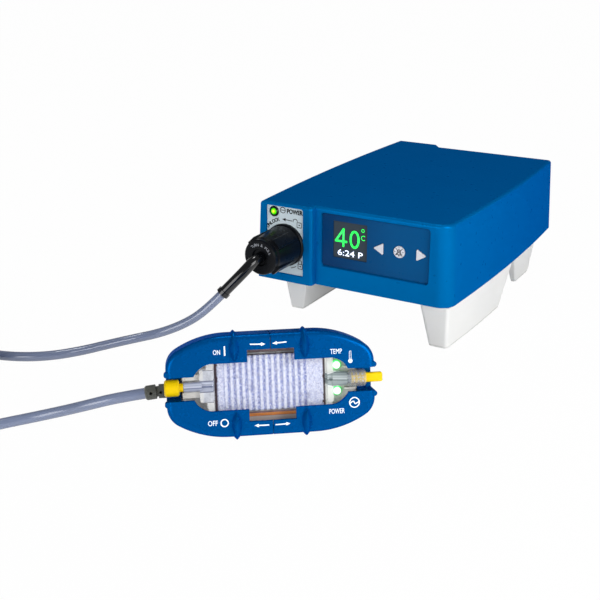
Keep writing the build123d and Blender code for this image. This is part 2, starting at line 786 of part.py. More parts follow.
with BuildPart() as mains_inlet:
    with BuildSketch(panel_plane(inlet_face)):
        with Locations(inlet_mid):
            RectangleRounded(inlet_right - inlet_left, inlet_high - inlet_low, 2)
    extrude(amount=-inlet_flange)
    with BuildSketch(panel_plane(inlet_face)):
        with Locations(inlet_mid):
            Rectangle(inlet_right - inlet_left - 3.0, inlet_high - inlet_low - 3.0)
    extrude(amount=inlet_face - inlet_back)
    with BuildSketch(panel_plane(inlet_face + inlet_flange)):
        with Locations((inlet_x, inlet_z)):
            Rectangle(24.0, 16.5)
    extrude(amount=inlet_flange + 17.0, mode=Mode.SUBTRACT)
    with BuildSketch(panel_plane(inlet_face + inlet_flange)):
        with Locations((rocker_x, inlet_z)):
            Rectangle(rocker_wide, rocker_high)
    extrude(amount=10.0, mode=Mode.SUBTRACT)
    with BuildSketch(panel_plane(inlet_face + inlet_flange)):
        with Locations((drawer_x, inlet_z)):
            Rectangle(drawer_wide, drawer_high)
    extrude(amount=drawer_deep + 1.0, mode=Mode.SUBTRACT)
    with BuildSketch(panel_plane(inlet_back - 1.0)):
        with Locations(*pin_places):
            Rectangle(2.0, 4.0)
    extrude(amount=-14.0, mode=Mode.SUBTRACT)
    # bores for the rocker's pivot pins
    with BuildSketch(rocker_plane.offset(-rocker_wide / 2 - pin_reach)):
        Circle(pin_radius + 0.05)
    extrude(amount=rocker_wide + 2 * pin_reach, mode=Mode.SUBTRACT)
save("mains_inlet", mains_inlet.part)

with BuildPart() as inlet_pins:
    with BuildSketch(panel_plane(inlet_back - 6.0)):
        with Locations(*pin_places):
            Rectangle(2.0, 4.0)
    extrude(amount=-29.0)
save("inlet_pins", inlet_pins.part)

with BuildPart() as power_rocker:
    with BuildSketch(rocker_plane.offset(-rocker_wide / 2 + 0.4)):
        with BuildLine():
            Polyline((-4.2, -4.5), (-1.0, -9.3), (3.8, -9.5), (2.4, 0), (3.8, 9.5), (-1.0, 9.3), (-4.2, 4.5),
                     close=True)
        make_face()
    extrude(amount=rocker_wide - 0.8)
    with BuildSketch(rocker_plane.offset(-rocker_wide / 2 - pin_reach + 0.2)):
        Circle(pin_radius)
    extrude(amount=rocker_wide + 2 * pin_reach - 0.4)
save("power_rocker", power_rocker.part)

with BuildPart() as fuse_drawer:
    drawer_back = inlet_face + inlet_flange - drawer_deep
    with BuildSketch(panel_plane(drawer_back)):
        with Locations((drawer_x, inlet_z)):
            Rectangle(drawer_wide - 0.7, drawer_high - 0.7)
    extrude(amount=-drawer_deep - 1.2)
    fillet(fuse_drawer.faces().sort_by(Axis.Y)[-1].edges(), 0.5)
    # a bay for the two fuses, open to one side
    with BuildSketch(panel_plane(drawer_back + 1.0)):
        with Locations((drawer_x + 1.2, inlet_z)):
            Rectangle(drawer_wide - 1.4, drawer_high - 4.0)
    extrude(amount=-20.6, mode=Mode.SUBTRACT)
save("fuse_drawer", fuse_drawer.part)

fuse_points = [(drawer_x + 0.4, inlet_z - 4.4), (drawer_x + 0.4, inlet_z + 4.4)]
save("fuses", round_bar(panel_plane(drawer_back + 1.3), fuse_points, 2.6, -20.0))


# Hand-held warmer

shoulder_turn = 58.84
shoulder_x, shoulder_y = straight_half, warmer_half_width - shoulder_radius
nose_x = shoulder_x + (shoulder_radius - nose_radius) * cos(radians(shoulder_turn))
nose_y = shoulder_y + (shoulder_radius - nose_radius) * sin(radians(shoulder_turn))
nose_end = nose_x + nose_radius


def warmer_plan(height, inset=0.0):
    """The warmer's outline at a height, drawn in by an inset."""
    top = warmer_half_width - inset
    with BuildSketch(face_plane(height)) as plan:
        with BuildLine():
            Line((0, top), (straight_half, top))
            CenterArc((shoulder_x, shoulder_y), shoulder_radius - inset, shoulder_turn, 90 - shoulder_turn)
            CenterArc((nose_x, nose_y), nose_radius - inset, 0, shoulder_turn)
            Line((nose_end - inset, nose_y), (nose_end - inset, 0))
            mirror(about=Plane.XZ)
            mirror(about=Plane.YZ)
        make_face()
    return plan.sketch


screw_places = [(x, y) for x in (-44.5, 44.5) for y in (-11, 11)]
wall_draft = warmer_lean
base_wall = 2.1

with BuildPart() as warmer_base:
    add(warmer_plan(base_height))
    add(warmer_plan(0, base_height * tan(radians(wall_draft))))
    loft(ruled=True)
    fillet(warmer_base.faces().sort_by(Axis(warmer_origin, face_normal))[0].edges(), 4.5)
    with BuildPart(mode=Mode.PRIVATE) as base_hollow:
        add(warmer_plan(base_height, base_wall))
        add(warmer_plan(2.0, base_wall + (base_height - 2.0) * tan(radians(wall_draft))))
        loft(ruled=True)
        fillet(base_hollow.faces().sort_by(Axis(warmer_origin, face_normal))[0].edges(), 2.5)
    add(base_hollow.part, mode=Mode.SUBTRACT)
    # posts under the board, and a way for each screw
    add(round_bar(face_plane(1.5), [(x, y) for x in (-32, 32) for y in (-15, 15)], 2.2, 6.5))
    add(round_bar(face_plane(0), screw_places, 2.6, 1.2), mode=Mode.SUBTRACT)
    add(round_bar(face_plane(0), screw_places, 1.3, 3.0), mode=Mode.SUBTRACT)
    # the cable's way through the end wall
    with BuildSketch(end_plane(-nose_end - 2, boot_y, boot_z)):
        Circle(4.45)
    extrude(amount=8, mode=Mode.SUBTRACT)
save("warmer_base", warmer_base.part)

lamp_places = [(39.6, -8.1), (39.6, 7.3)]
rail_half, rail_out = 33.0, 26.3

with BuildPart() as warmer_deck:
    add(warmer_plan(10.8, 3.1))
    extrude(amount=2.0, dir=face_normal)
    add(warmer_plan(10.8, 4.8))
    extrude(amount=2.0, dir=face_normal, mode=Mode.SUBTRACT)
    add(warmer_plan(12.8, 2.55))
    extrude(amount=1.2, dir=face_normal)
    add(warmer_plan(base_height, 5.6))
    extrude(amount=deck_height - base_height, dir=face_normal)
    # the raised plate ends short of the two end pockets
    for side in (-1, 1):
        with BuildSketch(end_plane(side * deck_half_length, 0, base_height + 5.0)):
            Rectangle(60, 10.0)
        extrude(amount=side * 10.0, mode=Mode.SUBTRACT)
    # a gap in the rim for the cable boot
    with BuildSketch(face_plane(10.5, -57.0, boot_y)):
        Rectangle(8.0, 12.4)
    extrude(amount=2.3, mode=Mode.SUBTRACT)
    # side rails that hold the covers, and rails beside the two ports
    with BuildSketch(face_plane(15.6)):
        for side in (-1, 1):
            with Locations((0, side * (rail_out - 1.7))):
                Rectangle(2 * rail_half, 3.4)
    extrude(amount=deck_height - 15.6)
    with BuildSketch(face_plane(deck_height)):
        for side in (-1, 1):
            with Locations((-46.0, side * 5.1)):
                Rectangle(10.0, 3.4)
            with Locations((47.0, side * 6.35)):
                Rectangle(7.0, 0.9)
    extrude(amount=4.5)
    # pocket for the heater, a window below it, and holes for the lamps
    with BuildSketch(face_plane(15.5)):
        RectangleRounded(69.0, 34.6, 1.5)
    extrude(amount=3, mode=Mode.SUBTRACT)
    with BuildSketch(face_plane(12.0)):
        RectangleRounded(60.0, 26.0, 2)
        with Locations(*lamp_places):
            Circle(2.6)
    extrude(amount=6, mode=Mode.SUBTRACT)
    add(round_bar(face_plane(2.1), screw_places, 3.0, 11.0))
    add(round_bar(face_plane(2.1), screw_places, 1.2, 9.0), mode=Mode.SUBTRACT)
save("warmer_deck", warmer_deck.part)

with BuildPart() as base_screws:
    add(round_bar(face_plane(0.1), screw_places, 2.4, 1.1))
    add(round_bar(face_plane(1.2), screw_places, 1.15, 9.0))
save("base_screws", base_screws.part)


def flat_block(x0, x1, y0, y1, z0, z1, corner=0.5):
    """A rounded block in the warmer's own frame."""
    with BuildPart() as block:
        with BuildSketch(face_plane(z0)):
            with Locations(((x0 + x1) / 2, (y0 + y1) / 2)):
                RectangleRounded(x1 - x0, y1 - y0, corner)
        extrude(amount=z1 - z0)
    return block.part


save("heater_foil", flat_block(-34, 34, -17, 17, 15.5, 15.9))
save("heater_plate", flat_block(-34.2, 34.2, -17.1, 17.1, 15.9, heater_top, 1.2))
with BuildPart() as warmer_board:
    add(flat_block(-37, 43, -20, 20, 8.0, 9.6, 2))
    add(round_bar(face_plane(7.0), screw_places, 3.4, 4.0), mode=Mode.SUBTRACT)
save("warmer_board", warmer_board.part)
save("cover_switch", flat_block(-3.2, 3.2, 16.5, 19.5, 9.6, 12.6))

with BuildPart() as warmer_lamps:
    add(round_bar(face_plane(9.6), lamp_places, 2.4, 8.6))
    for place in lamp_places:
        with Locations(Plane(origin=warmer_point(place[0], place[1], 18.2), z_dir=face_normal)):
            Sphere(2.4)
save("warmer_lamps", warmer_lamps.part)

with BuildPart() as detent_springs:
    for side in (-1, 1):
        with BuildSketch(face_plane(15.9)):
            with BuildLine():
                Polyline((-7, side * rail_out), (-1.2, side * rail_out), (0, side * (rail_out + 0.35)),
                         (1.2, side * rail_out), (7, side * rail_out), (7, side * (rail_out + 0.25)),
                         (1.4, side * (rail_out + 0.25)), (0, side * (rail_out + 0.65)),
                         (-1.4, side * (rail_out + 0.25)), (-7, side * (rail_out + 0.25)), close=True)
            make_face()
        extrude(amount=1.3)
save("detent_springs", detent_springs.part)

# Sliding covers, one to each side
fin_radius = warmer_z - fin_y * cos(radians(warmer_lean)) + fin_z * sin(radians(warmer_lean)) - 0.02
lens_radius = (fin_radius**2 + fin_thickness**2 / 4) / fin_thickness
lens_centre = lens_radius - fin_thickness / 2
lens_middle = sqrt(lens_radius**2 - fin_radius**2 / 4) - lens_centre


def thumb_fin(x, y):
    """A lens-shaped fin that wraps round the cover's edge."""
    centre = warmer_point(x, y, fin_z)
    with BuildPart() as fin:
        with BuildSketch(Plane(origin=centre, x_dir=along, z_dir=face_normal)):
            with BuildLine():
                Line((-fin_thickness / 2, 0), (fin_thickness / 2, 0))
                ThreePointArc((fin_thickness / 2, 0), (lens_middle, fin_radius / 2), (0.25, fin_radius))
                Line((0.25, fin_radius), (-0.25, fin_radius))
                ThreePointArc((-0.25, fin_radius), (-lens_middle, fin_radius / 2), (-fin_thickness / 2, 0))
            make_face()
        revolve(axis=Axis(centre, along))
    return fin.part


def make_cover(side):
    """The cover that slides to one side: +1 to the right, -1 to the left."""
    fin_x = right_fin_x if side > 0 else left_fin_x
    with BuildPart() as cover:
        add(warmer_plan(cover_low))
        extrude(amount=face_height - cover_low, dir=face_normal)
        fillet(cover.faces().sort_by(Axis(warmer_origin, face_normal))[-1].edges(), 3.0)
        # the half on the other side of the seam is cut away
        with BuildSketch(face_plane(cover_low - 1.0)):
            with Locations((side * (0.2 - nose_end), 0)):
                Rectangle(2 * nose_end, 70)
        extrude(amount=20, mode=Mode.SUBTRACT)
        add(thumb_fin(fin_x, fin_y))
        add(thumb_fin(fin_x, -fin_y))
        # small beads at the corners of the channel's mouth
        bead_x = side * (nose_end - 0.5)
        add(round_bar(face_plane(26.2), [(bead_x, -8.6), (bead_x, 8.6)], 1.6, 4.7))
        with BuildPart(mode=Mode.PRIVATE) as hollow:
            add(warmer_plan(cover_low - 1.0, cover_wall))
            extrude(amount=face_height - cover_low - cover_wall + 1.0, dir=face_normal)
        add(hollow.part, mode=Mode.SUBTRACT)
        # end pocket under the channel, and lips that run beside the deck's rails
        with BuildSketch(face_plane(pocket_floor - 1.6)):
            with Locations((side * (pocket_start + nose_end - 1) / 2, 0)):
                Rectangle(nose_end - 1 - pocket_start, 2 * channel_half_width + 4.4)
        extrude(amount=face_height - 1.0 - pocket_floor + 1.6)
        with BuildSketch(face_plane(cover_low)):
            for y in (-26.1, 26.1):
                with Locations((side * 10.5, y)):
                    Rectangle(19.0, 3.0)
        extrude(amount=0.9)
        # notch, window, shoulders and channel, open from the face down
        with BuildSketch(face_plane(pocket_floor)):
            with BuildLine():
                Polyline((-side * 5, notch_half_width), (side * notch_half_length, notch_half_width),
                         (side * notch_half_length, window_half_width),
                         (side * window_half_length, window_half_width))
                ThreePointArc((side * window_half_length, window_half_width), (side * 41.0, 11.3),
                              (side * channel_start, channel_half_width))
                Polyline((side * channel_start, channel_half_width),
                         (side * (nose_end + 5), channel_half_width),
                         (side * (nose_end + 5), 0))
                mirror(about=Plane.XZ)
                Line((-side * 5, notch_half_width), (-side * 5, -notch_half_width))
            make_face()
        extrude(amount=20, mode=Mode.SUBTRACT)
    return cover.part


save("cover_right", make_cover(1))
save("cover_left", make_cover(-1))


# Disposable cartridge: a ribbed metal plate in a clear frame with a port at each end

plate_half_length, plate_half_width = 32.3, 16.4
rib_start = -31.4
with BuildPart() as cartridge_plate:
    add(flat_block(-plate_half_length, plate_half_length, -plate_half_width, plate_half_width, 18.4, 22.6))
    for rib in range(rib_count):
        rib_point = warmer_point(rib_start + rib_pitch * (rib + 0.5), -plate_half_width + 0.6, 22.6)
        with BuildSketch(Plane(origin=rib_point, x_dir=along, z_dir=across)):
            with BuildLine():
                ThreePointArc((-1.2, -0.1), (0, -1.1), (1.2, -0.1))
                Line((1.2, -0.1), (1.2, 0.1))
                Line((1.2, 0.1), (-1.2, 0.1))
                Line((-1.2, 0.1), (-1.2, -0.1))
            make_face()
        extrude(amount=2 * plate_half_width - 1.2)
save("cartridge_plate", cartridge_plate.part)

port_radius, spigot_radius, port_bore, funnel_radius = 2.7, 1.7, 1.0, 3.9
left_port_end, left_spigot_end = 50.2, 57.0
right_port_end, right_spigot_end = 46.8, 50.0


def port(side, funnel_end, port_end, spigot_end):
    """The turned port at one end of the cartridge's frame."""
    plane = Plane(origin=warmer_point(side * funnel_end, 0, port_z), x_dir=across, z_dir=along * side)
    tail = port_end - funnel_end
    tip = spigot_end - funnel_end
    return turned(plane, [(0, 0), (port_radius, 0), (port_radius, tail), (spigot_radius, tail),
                          (spigot_radius, tip), (0, tip)])


with BuildPart() as cartridge_frame:
    for side in (-1, 1):
        add(flat_block(-36.4, 36.4, min(side * 16.7, side * 19.4), max(side * 16.7, side * 19.4), 18.6, 21.4))
    for x0, x1 in ((-36.4, -32.6), (32.6, 36.4)):
        add(flat_block(x0, x1, -19.4, 19.4, 18.5, 20.4))
    # stepped manifold at the inlet
    add(flat_block(-37.0, -33.2, -13.4, 13.4, 18.5, 24.6, 1.0))
    add(flat_block(-41.0, -36.0, -9.4, 9.4, 18.5, 24.6, 1.0))
    # flat manifold and funnel at the outlet
    add(flat_block(33.2, 36.6, -13.4, 13.4, 18.5, 24.6, 1.0))
    with BuildSketch(end_plane(36.0, 0, 22.4)):
        RectangleRounded(9.4, 5.4, 2.0)
    with BuildSketch(end_plane(44.4, 0, port_z)):
        Circle(funnel_radius)
    loft()
    add(port(-1, 40.0, left_port_end, left_spigot_end))
    add(port(1, 44.0, right_port_end, right_spigot_end))
    for side, reach in ((-1, left_spigot_end), (1, right_spigot_end)):
        with BuildSketch(end_plane(side * (reach + 1), 0, port_z)):
            Circle(port_bore)
        extrude(amount=-side * (reach - 33.0), mode=Mode.SUBTRACT)
save("cartridge_frame", cartridge_frame.part)

cap_radius, cap_start, cap_end = 4.9, 52.7, 61.3
with BuildPart() as inlet_cap:
    cap_plane = Plane(origin=warmer_point(-left_port_end - 0.3, 0, port_z), x_dir=across, z_dir=along * -1)
    neck = cap_start - left_port_end - 0.3
    head = cap_end - left_port_end - 0.3
    add(turned(cap_plane, [(2.0, 0), (2.5, 0), (2.5, neck), (cap_radius - 0.9, neck),
                           (cap_radius, neck + 0.9), (cap_radius, head - 0.9), (cap_radius - 0.9, head),
                           (0, head), (0, head - 2.0), (2.0, head - 2.0)]))
save("inlet_cap", inlet_cap.part)

collar_start, collar_end, collar_radius, collar_bore = 44.8, 55.4, 5.0, 4.2
with BuildPart() as outlet_collar:
    collar_plane = Plane(origin=warmer_point(collar_start, 0, port_z), x_dir=across, z_dir=along)
    collar_length = collar_end - collar_start
    add(turned(collar_plane, [(3.0, 0), (collar_radius - 1.2, 0), (collar_radius, 1.2),
                              (collar_radius, collar_length - 0.4), (collar_radius - 0.4, collar_length),
                              (collar_bore, collar_length), (collar_bore, 1.6), (3.0, 1.6)]))
    with BuildSketch(collar_plane.offset(1.6)):
        with PolarLocations(collar_radius - 0.15, 12):
            Circle(0.35)
    extrude(amount=collar_length - 2.6)
save("outlet_collar", outlet_collar.part)

plug_tip, handle_end = 47.1, 65.6
with BuildPart() as outlet_plug:
    tip_plane = Plane(origin=warmer_point(plug_tip, 0, port_z), x_dir=across, z_dir=along)
    body_end = collar_end + 0.8 - plug_tip
    add(turned(tip_plane, [(2.0, 0), (3.2, 0), (3.2, 1.2), (2.8, 1.4), (2.8, 2.4), (3.2, 2.6), (3.2, 3.8),
                           (2.8, 4.0), (2.8, 5.0), (3.2, 5.2), (3.2, 6.4), (2.8, 6.6), (2.8, 7.4), (3.2, 7.6),
                           (3.2, body_end - 0.4), (2.8, body_end), (0, body_end), (0, 4.0), (2.0, 4.0)]))
    with BuildSketch(tip_plane.offset(body_end - 1.5)):
        RectangleRounded(5.6, 4.4, 1.4)
    extrude(amount=handle_end - plug_tip - body_end + 1.5)
    fillet(outlet_plug.faces().sort_by(Axis(warmer_origin, along))[-1].edges(), 0.9)
save("outlet_plug", outlet_plug.part)

# Grey boot that holds the cable where it leaves the warmer
with BuildPart() as cable_boot:
    root_plane = end_plane(-boot_root, boot_y, boot_z)
    neck = boot_bend - boot_root
    add(turned(Plane(origin=root_plane.origin, x_dir=across, z_dir=along * -1),
               [(0, -1.0), (4.2, -1.0), (4.2, neck - 0.7), (3.1, neck - 0.5), (3.1, neck + 0.3),
                (0, neck + 0.3)]))
    # the outer block droops a little under the cable's weight
    add(turned(Plane(origin=boot_bend_point, x_dir=across, z_dir=boot_out),
               [(0, -0.4), (3.1, -0.4), (3.1, 0.6), (4.3, 0.9), (4.3, boot_length - 0.9),
                (3.5, boot_length), (0, boot_length)]))
    # a flange inside the wall
    with BuildSketch(root_plane):
        RectangleRounded(11.4, 8.3, 2.0)
    extrude(amount=1.8)
    # two blind holes in the side that faces the user
    for x, y in ((-63.5, boot_y), (-69.3, boot_y - 0.4)):
        with BuildSketch(face_plane(boot_z + 0.6, x, y)):
            Circle(0.9)
        extrude(amount=6, mode=Mode.SUBTRACT)
save("cable_boot", cable_boot.part)
save("cable_clamp", flat_block(-52.7, -49.0, boot_y - 4, boot_y + 4, 2.1, 12.6))
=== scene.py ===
from math import atan2, cos, pi, radians, sin

import bmesh
import bpy
from mathutils import Matrix, Vector, noise


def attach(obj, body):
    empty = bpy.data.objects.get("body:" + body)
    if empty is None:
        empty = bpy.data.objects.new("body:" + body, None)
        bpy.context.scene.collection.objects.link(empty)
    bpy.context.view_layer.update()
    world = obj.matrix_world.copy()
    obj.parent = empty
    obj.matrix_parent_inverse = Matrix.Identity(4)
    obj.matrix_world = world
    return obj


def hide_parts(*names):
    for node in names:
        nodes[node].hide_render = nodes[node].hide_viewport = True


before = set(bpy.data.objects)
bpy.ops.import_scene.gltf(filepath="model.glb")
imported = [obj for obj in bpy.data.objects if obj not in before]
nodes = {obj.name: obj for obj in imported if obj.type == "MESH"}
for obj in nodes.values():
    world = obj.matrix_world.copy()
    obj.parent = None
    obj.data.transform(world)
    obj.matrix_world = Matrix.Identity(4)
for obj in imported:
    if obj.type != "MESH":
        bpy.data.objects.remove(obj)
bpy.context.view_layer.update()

# The controller's own frame, in millimetres: x to its right, y to its back, z up from the table
BENCH = Vector((-2.68, -16.37, 0.0))

# The hand-held warmer's own frame: x along it, y across it, z out of its face
YAW, LEAN = radians(37.8), radians(15.0)
HALF_WIDTH, BASE_HEIGHT = 29.5, 14.0
ALONG = Vector((cos(YAW), sin(YAW), 0.0))
NORMAL = Vector((sin(YAW) * cos(LEAN), -cos(YAW) * cos(LEAN), sin(LEAN)))
ACROSS = NORMAL.cross(ALONG)
WARMER = BENCH + Vector((15.9, -140.8, HALF_WIDTH * cos(LEAN) - BASE_HEIGHT * sin(LEAN)))

# Where marks lie, each a little proud of its solid: depths behind the controller's front face,
# and a height over the warmer's underside; then the centres that some are drawn round
LABEL_FRONT, SCREEN_FRONT, KEY_FRONT, CAP_FRONT = -4.46, 2.44, 1.04, -39.66
FACE_FRONT = 31.05
PLUG_CENTRE = (-52.3, 58.8)
MUTE_CENTRE = (35.9, 66.0)
ROCKER_CENTRE = Vector((37.5, 226.8, 58.5))
ROCKER_TILT = radians(7.0)

# The cartridge's ribs and foil, and the warmer's two green lamps, in the warmer's own frame
RIB_START, RIB_PITCH = -31.0, 3.42
RIBS_LEFT, RIBS_RIGHT = -28.0, 23.0
FOIL_HALF_LENGTH, FOIL_HALF_WIDTH = 32.3, 16.4
FOIL_TOP, FOIL_BOTTOM, RIB_DEPTH = 22.55, 18.45, 0.6
LAMP_X, LAMP_Y, LAMP_MIDDLE = 39.6, 7.7, -0.4


def bench_mm(x, y, z):
    """A place of the controller's own frame, in the part's frame, in millimetres."""
    return BENCH + Vector((x, y, z))


def warm_mm(x, y, z):
    """A place of the warmer's own frame, in the part's frame, in millimetres."""
    return WARMER + ALONG * x + ACROSS * y + NORMAL * z


def bench(x, y, z):
    """The same as bench_mm, in metres."""
    return bench_mm(x, y, z) / 1000


def warm(x, y, z):
    """The same as warm_mm, in metres."""
    return warm_mm(x, y, z) / 1000


def show(obj):
    """Put an object in the scene."""
    bpy.context.scene.collection.objects.link(obj)


# Camera at the photograph's viewing angle
CAMERA_PLACE = (313.26, -613.92, 286.56)
CAMERA_AIM = (-0.4685, 0.8084, -0.3565)
camera_data = bpy.data.cameras.new("camera")
camera_data.sensor_width = 36.0
camera_data.lens = 61.236
camera_data.clip_start = 0.01
camera = bpy.data.objects.new("camera", camera_data)
show(camera)
forward = Vector(CAMERA_AIM).normalized()
right = forward.cross(Vector((0, 0, 1))).normalized()
turned = Matrix((right, right.cross(forward), -forward)).transposed().to_4x4()
camera.matrix_world = Matrix.Translation(bench(*CAMERA_PLACE)) @ turned
bpy.context.scene.camera = camera

# Cord: from the warmer's boot, through the put-away coil, to the plug's boot
CORD = 6.5
LYING = CORD / 2
COIL_RADIUS, COIL_PITCH, COIL_LAYERS = 37.0, 7.1, 4
COIL_START, COIL_END = radians(101.5), radians(270 + 11 * 360)
COIL_STEP = radians(20)
COIL_CENTRE = bench_mm(-209.5, -219.6, LYING)
coil_turn = COIL_END - COIL_START
layer_turn = coil_turn / COIL_LAYERS
coil_spread = COIL_PITCH * layer_turn / (2 * pi)


def coil_point(turn):
    """A point of the coil's middle line after turning this far, in radians."""
    swing = abs(turn / layer_turn % 2 - 1)
    radius = COIL_RADIUS + (swing - 0.5) * coil_spread
    climbed = sum(min(1.0, max(0.0, (turn - k * layer_turn) / pi + 0.5)) for k in range(1, COIL_LAYERS))
    angle = COIL_START + turn
    return COIL_CENTRE + Vector((radius * cos(angle), radius * sin(angle), COIL_PITCH * climbed))


def coil_way(turn):
    """The direction in which the coil's middle line runs there."""
    step = 0.02
    return (coil_point(turn + step) - coil_point(turn - step)).normalized()


BOOT_DROOP = radians(6.0)
BOOT_LENGTH = 7.5
boot_out = -ALONG * cos(BOOT_DROOP) - ACROSS * sin(BOOT_DROOP)
warmer_exit = warm_mm(-65.3, -4.2, 8.45) + boot_out * BOOT_LENGTH
plug_root, plug_exit = bench_mm(-57.5, -54.5, 50.5), bench_mm(-69.1, -62.9, 36.0)
plug_way = (plug_exit - plug_root).normalized()
coil_entry = coil_point(0) - coil_way(0) * CORD
coil_exit = coil_point(coil_turn) + coil_way(coil_turn) * CORD
coil_count = round(coil_turn / COIL_STEP)
coil_points = [coil_point(coil_turn * (coil_count - k) / coil_count) for k in range(coil_count + 1)]
cord_points = [
    warmer_exit,
    warmer_exit + boot_out * 17.0,
    bench_mm(-63.0, -211.5, 16.0),
    bench_mm(-80.0, -215.0, 9.3),
    bench_mm(-95.0, -222.5, 4.9),
    bench_mm(-107.0, -234.5, LYING),
    bench_mm(-116.0, -249.0, LYING),
    bench_mm(-130.0, -260.5, LYING),
    bench_mm(-149.0, -266.0, 8.0),
    bench_mm(-168.0, -267.5, 16.4),
    coil_exit + coil_way(coil_turn) * 17.0,
    coil_exit,
    *coil_points,
    coil_entry,
    coil_entry - coil_way(0) * 16.0,
    bench_mm(-173.0, -163.0, LYING),
    bench_mm(-153.0, -150.0, LYING),
    bench_mm(-140.0, -132.0, LYING),
    bench_mm(-131.5, -114.0, LYING),
    bench_mm(-122.5, -97.0, LYING),
    bench_mm(-110.0, -84.0, 5.2),
    bench_mm(-94.0, -76.5, 12.5),
    plug_exit + plug_way * 18.0,
    plug_exit,
]

# Each point's radius gives the cord its thickness, so the bevel itself is 1
cord_curve = bpy.data.curves.new("cord", "CURVE")
cord_curve.dimensions = "3D"
cord_curve.resolution_u = 8
cord_curve.bevel_depth = 1.0
cord_curve.bevel_resolution = 9
cord_curve.use_fill_caps = True
spline = cord_curve.splines.new("NURBS")
spline.points.add(len(cord_points) - 1)
for point, place in zip(spline.points, cord_points):
    point.co = (*(place / 1000), 1.0)
    point.radius = CORD / 2000
spline.use_smooth = True
spline.order_u = 3
spline.use_endpoint_u = True
cord = bpy.data.objects.new("cord", cord_curve)
show(cord)
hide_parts("cord_to_plug", "cord_coil", "cord_to_warmer")
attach(cord, "base")


# Materials


def srgb(r, g, b):
    """A colour written as it shows, 0 to 255, as linear numbers."""
    shown = (r / 255, g / 255, b / 255)
    return tuple(v / 12.92 if v <= 0.04045 else ((v + 0.055) / 1.055) ** 2.4 for v in shown) + (1,)


def shade(colour, share):
    """A colour made lighter or darker."""
    return tuple(min(1.0, c * share) for c in colour[:3]) + (1,)


class Mat:
    """A node material under construction."""

    def __init__(self, name):
        self.mat = bpy.data.materials.new(name)
        self.mat.use_nodes = True
        self.tree = self.mat.node_tree
        self.shader = self.tree.nodes["Principled BSDF"]
        self.place = self.node("ShaderNodeTexCoord").outputs["Object"]

    def node(self, kind, **settings):
        made = self.tree.nodes.new(kind)
        for key, value in settings.items():
            setattr(made, key, value)
        return made

    def link(self, source, target):
        self.tree.links.new(source, target)

    def put(self, target, value):
        """Link a socket to another node's output, or give it a fixed value."""
        if hasattr(value, "is_output"):
            self.link(value, target)
        else:
            target.default_value = value

    def set(self, **values):
        """Give the shader's own sockets their values: Base_Color is the socket Base Color."""
        for key, value in values.items():
            self.put(self.shader.inputs[key.replace("_", " ")], value)

    def math(self, operation, a, b=0.0):
        made = self.node("ShaderNodeMath", operation=operation)
        for socket, value in zip(made.inputs, (a, b)):
            self.put(socket, value)
        return made.outputs[0]

    def add(self, a, b):
        return self.math("ADD", a, b)

    def times(self, a, b):
        return self.math("MULTIPLY", a, b)

    def off(self, value, middle=0.0):
        """How far a value is from a middle, to either side."""
        return self.math("ABSOLUTE", self.math("SUBTRACT", value, middle))

    def ramp(self, value, low, high, to_low=0.0, to_high=1.0, smooth=False):
        """A value that goes from to_low to to_high while another goes from low to high."""
        made = self.node("ShaderNodeMapRange")
        made.interpolation_type = "SMOOTHSTEP" if smooth else "LINEAR"
        for socket, number in zip(made.inputs, (value, low, high, to_low, to_high)):
            self.put(socket, number)
        return made.outputs[0]

    def fade(self, value, full, none):
        """1 up to `full`, falling to 0 at `none`."""
        return self.ramp(value, full, none, 1.0, 0.0)

    def mix(self, factor, a, b):
        made = self.node("ShaderNodeMix", data_type="RGBA")
        self.put(made.inputs[0], factor)
        self.put(made.inputs[6], a)
        self.put(made.inputs[7], b)
        return made.outputs[2]

    def noise(self, scale, detail=3.0, stretch=None, rough=0.5):
        made = self.node("ShaderNodeTexNoise")
        made.inputs["Scale"].default_value = scale
        made.inputs["Detail"].default_value = detail
        made.inputs["Roughness"].default_value = rough
        place = self.place
        if stretch:
            mapping = self.node("ShaderNodeMapping")
            self.link(place, mapping.inputs[0])
            mapping.inputs["Scale"].default_value = stretch
            place = mapping.outputs[0]
        self.link(place, made.inputs["Vector"])
        return made.outputs[0]

    def flecked(self, value, low, high, a, b):
        """A colour between two, by where a noise lies between low and high."""
        return self.mix(self.ramp(value, low, high), a, b)

    def bump(self, height, distance, strength=1.0):
        made = self.node("ShaderNodeBump")
        made.inputs["Distance"].default_value = distance
        made.inputs["Strength"].default_value = strength
        self.link(height, made.inputs["Height"])
        self.link(made.outputs[0], self.shader.inputs["Normal"])

    def local(self):
        """The place in the warmer's own frame, in millimetres: along, across, out of its face."""
        moved = self.node("ShaderNodeVectorMath", operation="SUBTRACT")
        self.link(self.place, moved.inputs[0])
        moved.inputs[1].default_value = WARMER / 1000
        found = []
        for way in (ALONG, ACROSS, NORMAL):
            dot = self.node("ShaderNodeVectorMath", operation="DOT_PRODUCT")
            self.link(moved.outputs[0], dot.inputs[0])
            dot.inputs[1].default_value = way
            found.append(self.times(dot.outputs["Value"], 1000.0))
        return found

    def from_lamp(self, along, across):
        """How far a place is from the nearer green lamp, in millimetres: along, across, straight."""
        dx = self.math("SUBTRACT", along, LAMP_X)
        dy = self.math("SUBTRACT", self.off(across, LAMP_MIDDLE), LAMP_Y)
        return dx, dy, self.math("SQRT", self.add(self.times(dx, dx), self.times(dy, dy)))


def plastic(name, colour, rough, grain=0.00004, mottle=0.06, grain_scale=2600.0, spread=0.05, gloss=0.3):
    """Moulded plastic: a fine grain, faint flow marks and an uneven gloss."""
    m = Mat(name)
    tone = m.flecked(m.noise(38.0, 4.0), 0.3, 0.7, shade(colour, 1 - mottle), shade(colour, 1 + mottle))
    m.set(Base_Color=tone, Roughness=m.ramp(m.noise(210.0, 5.0), 0.3, 0.7, rough - spread, rough + spread),
          Specular_IOR_Level=gloss)
    m.bump(m.noise(grain_scale, 2.0), grain)
    return m


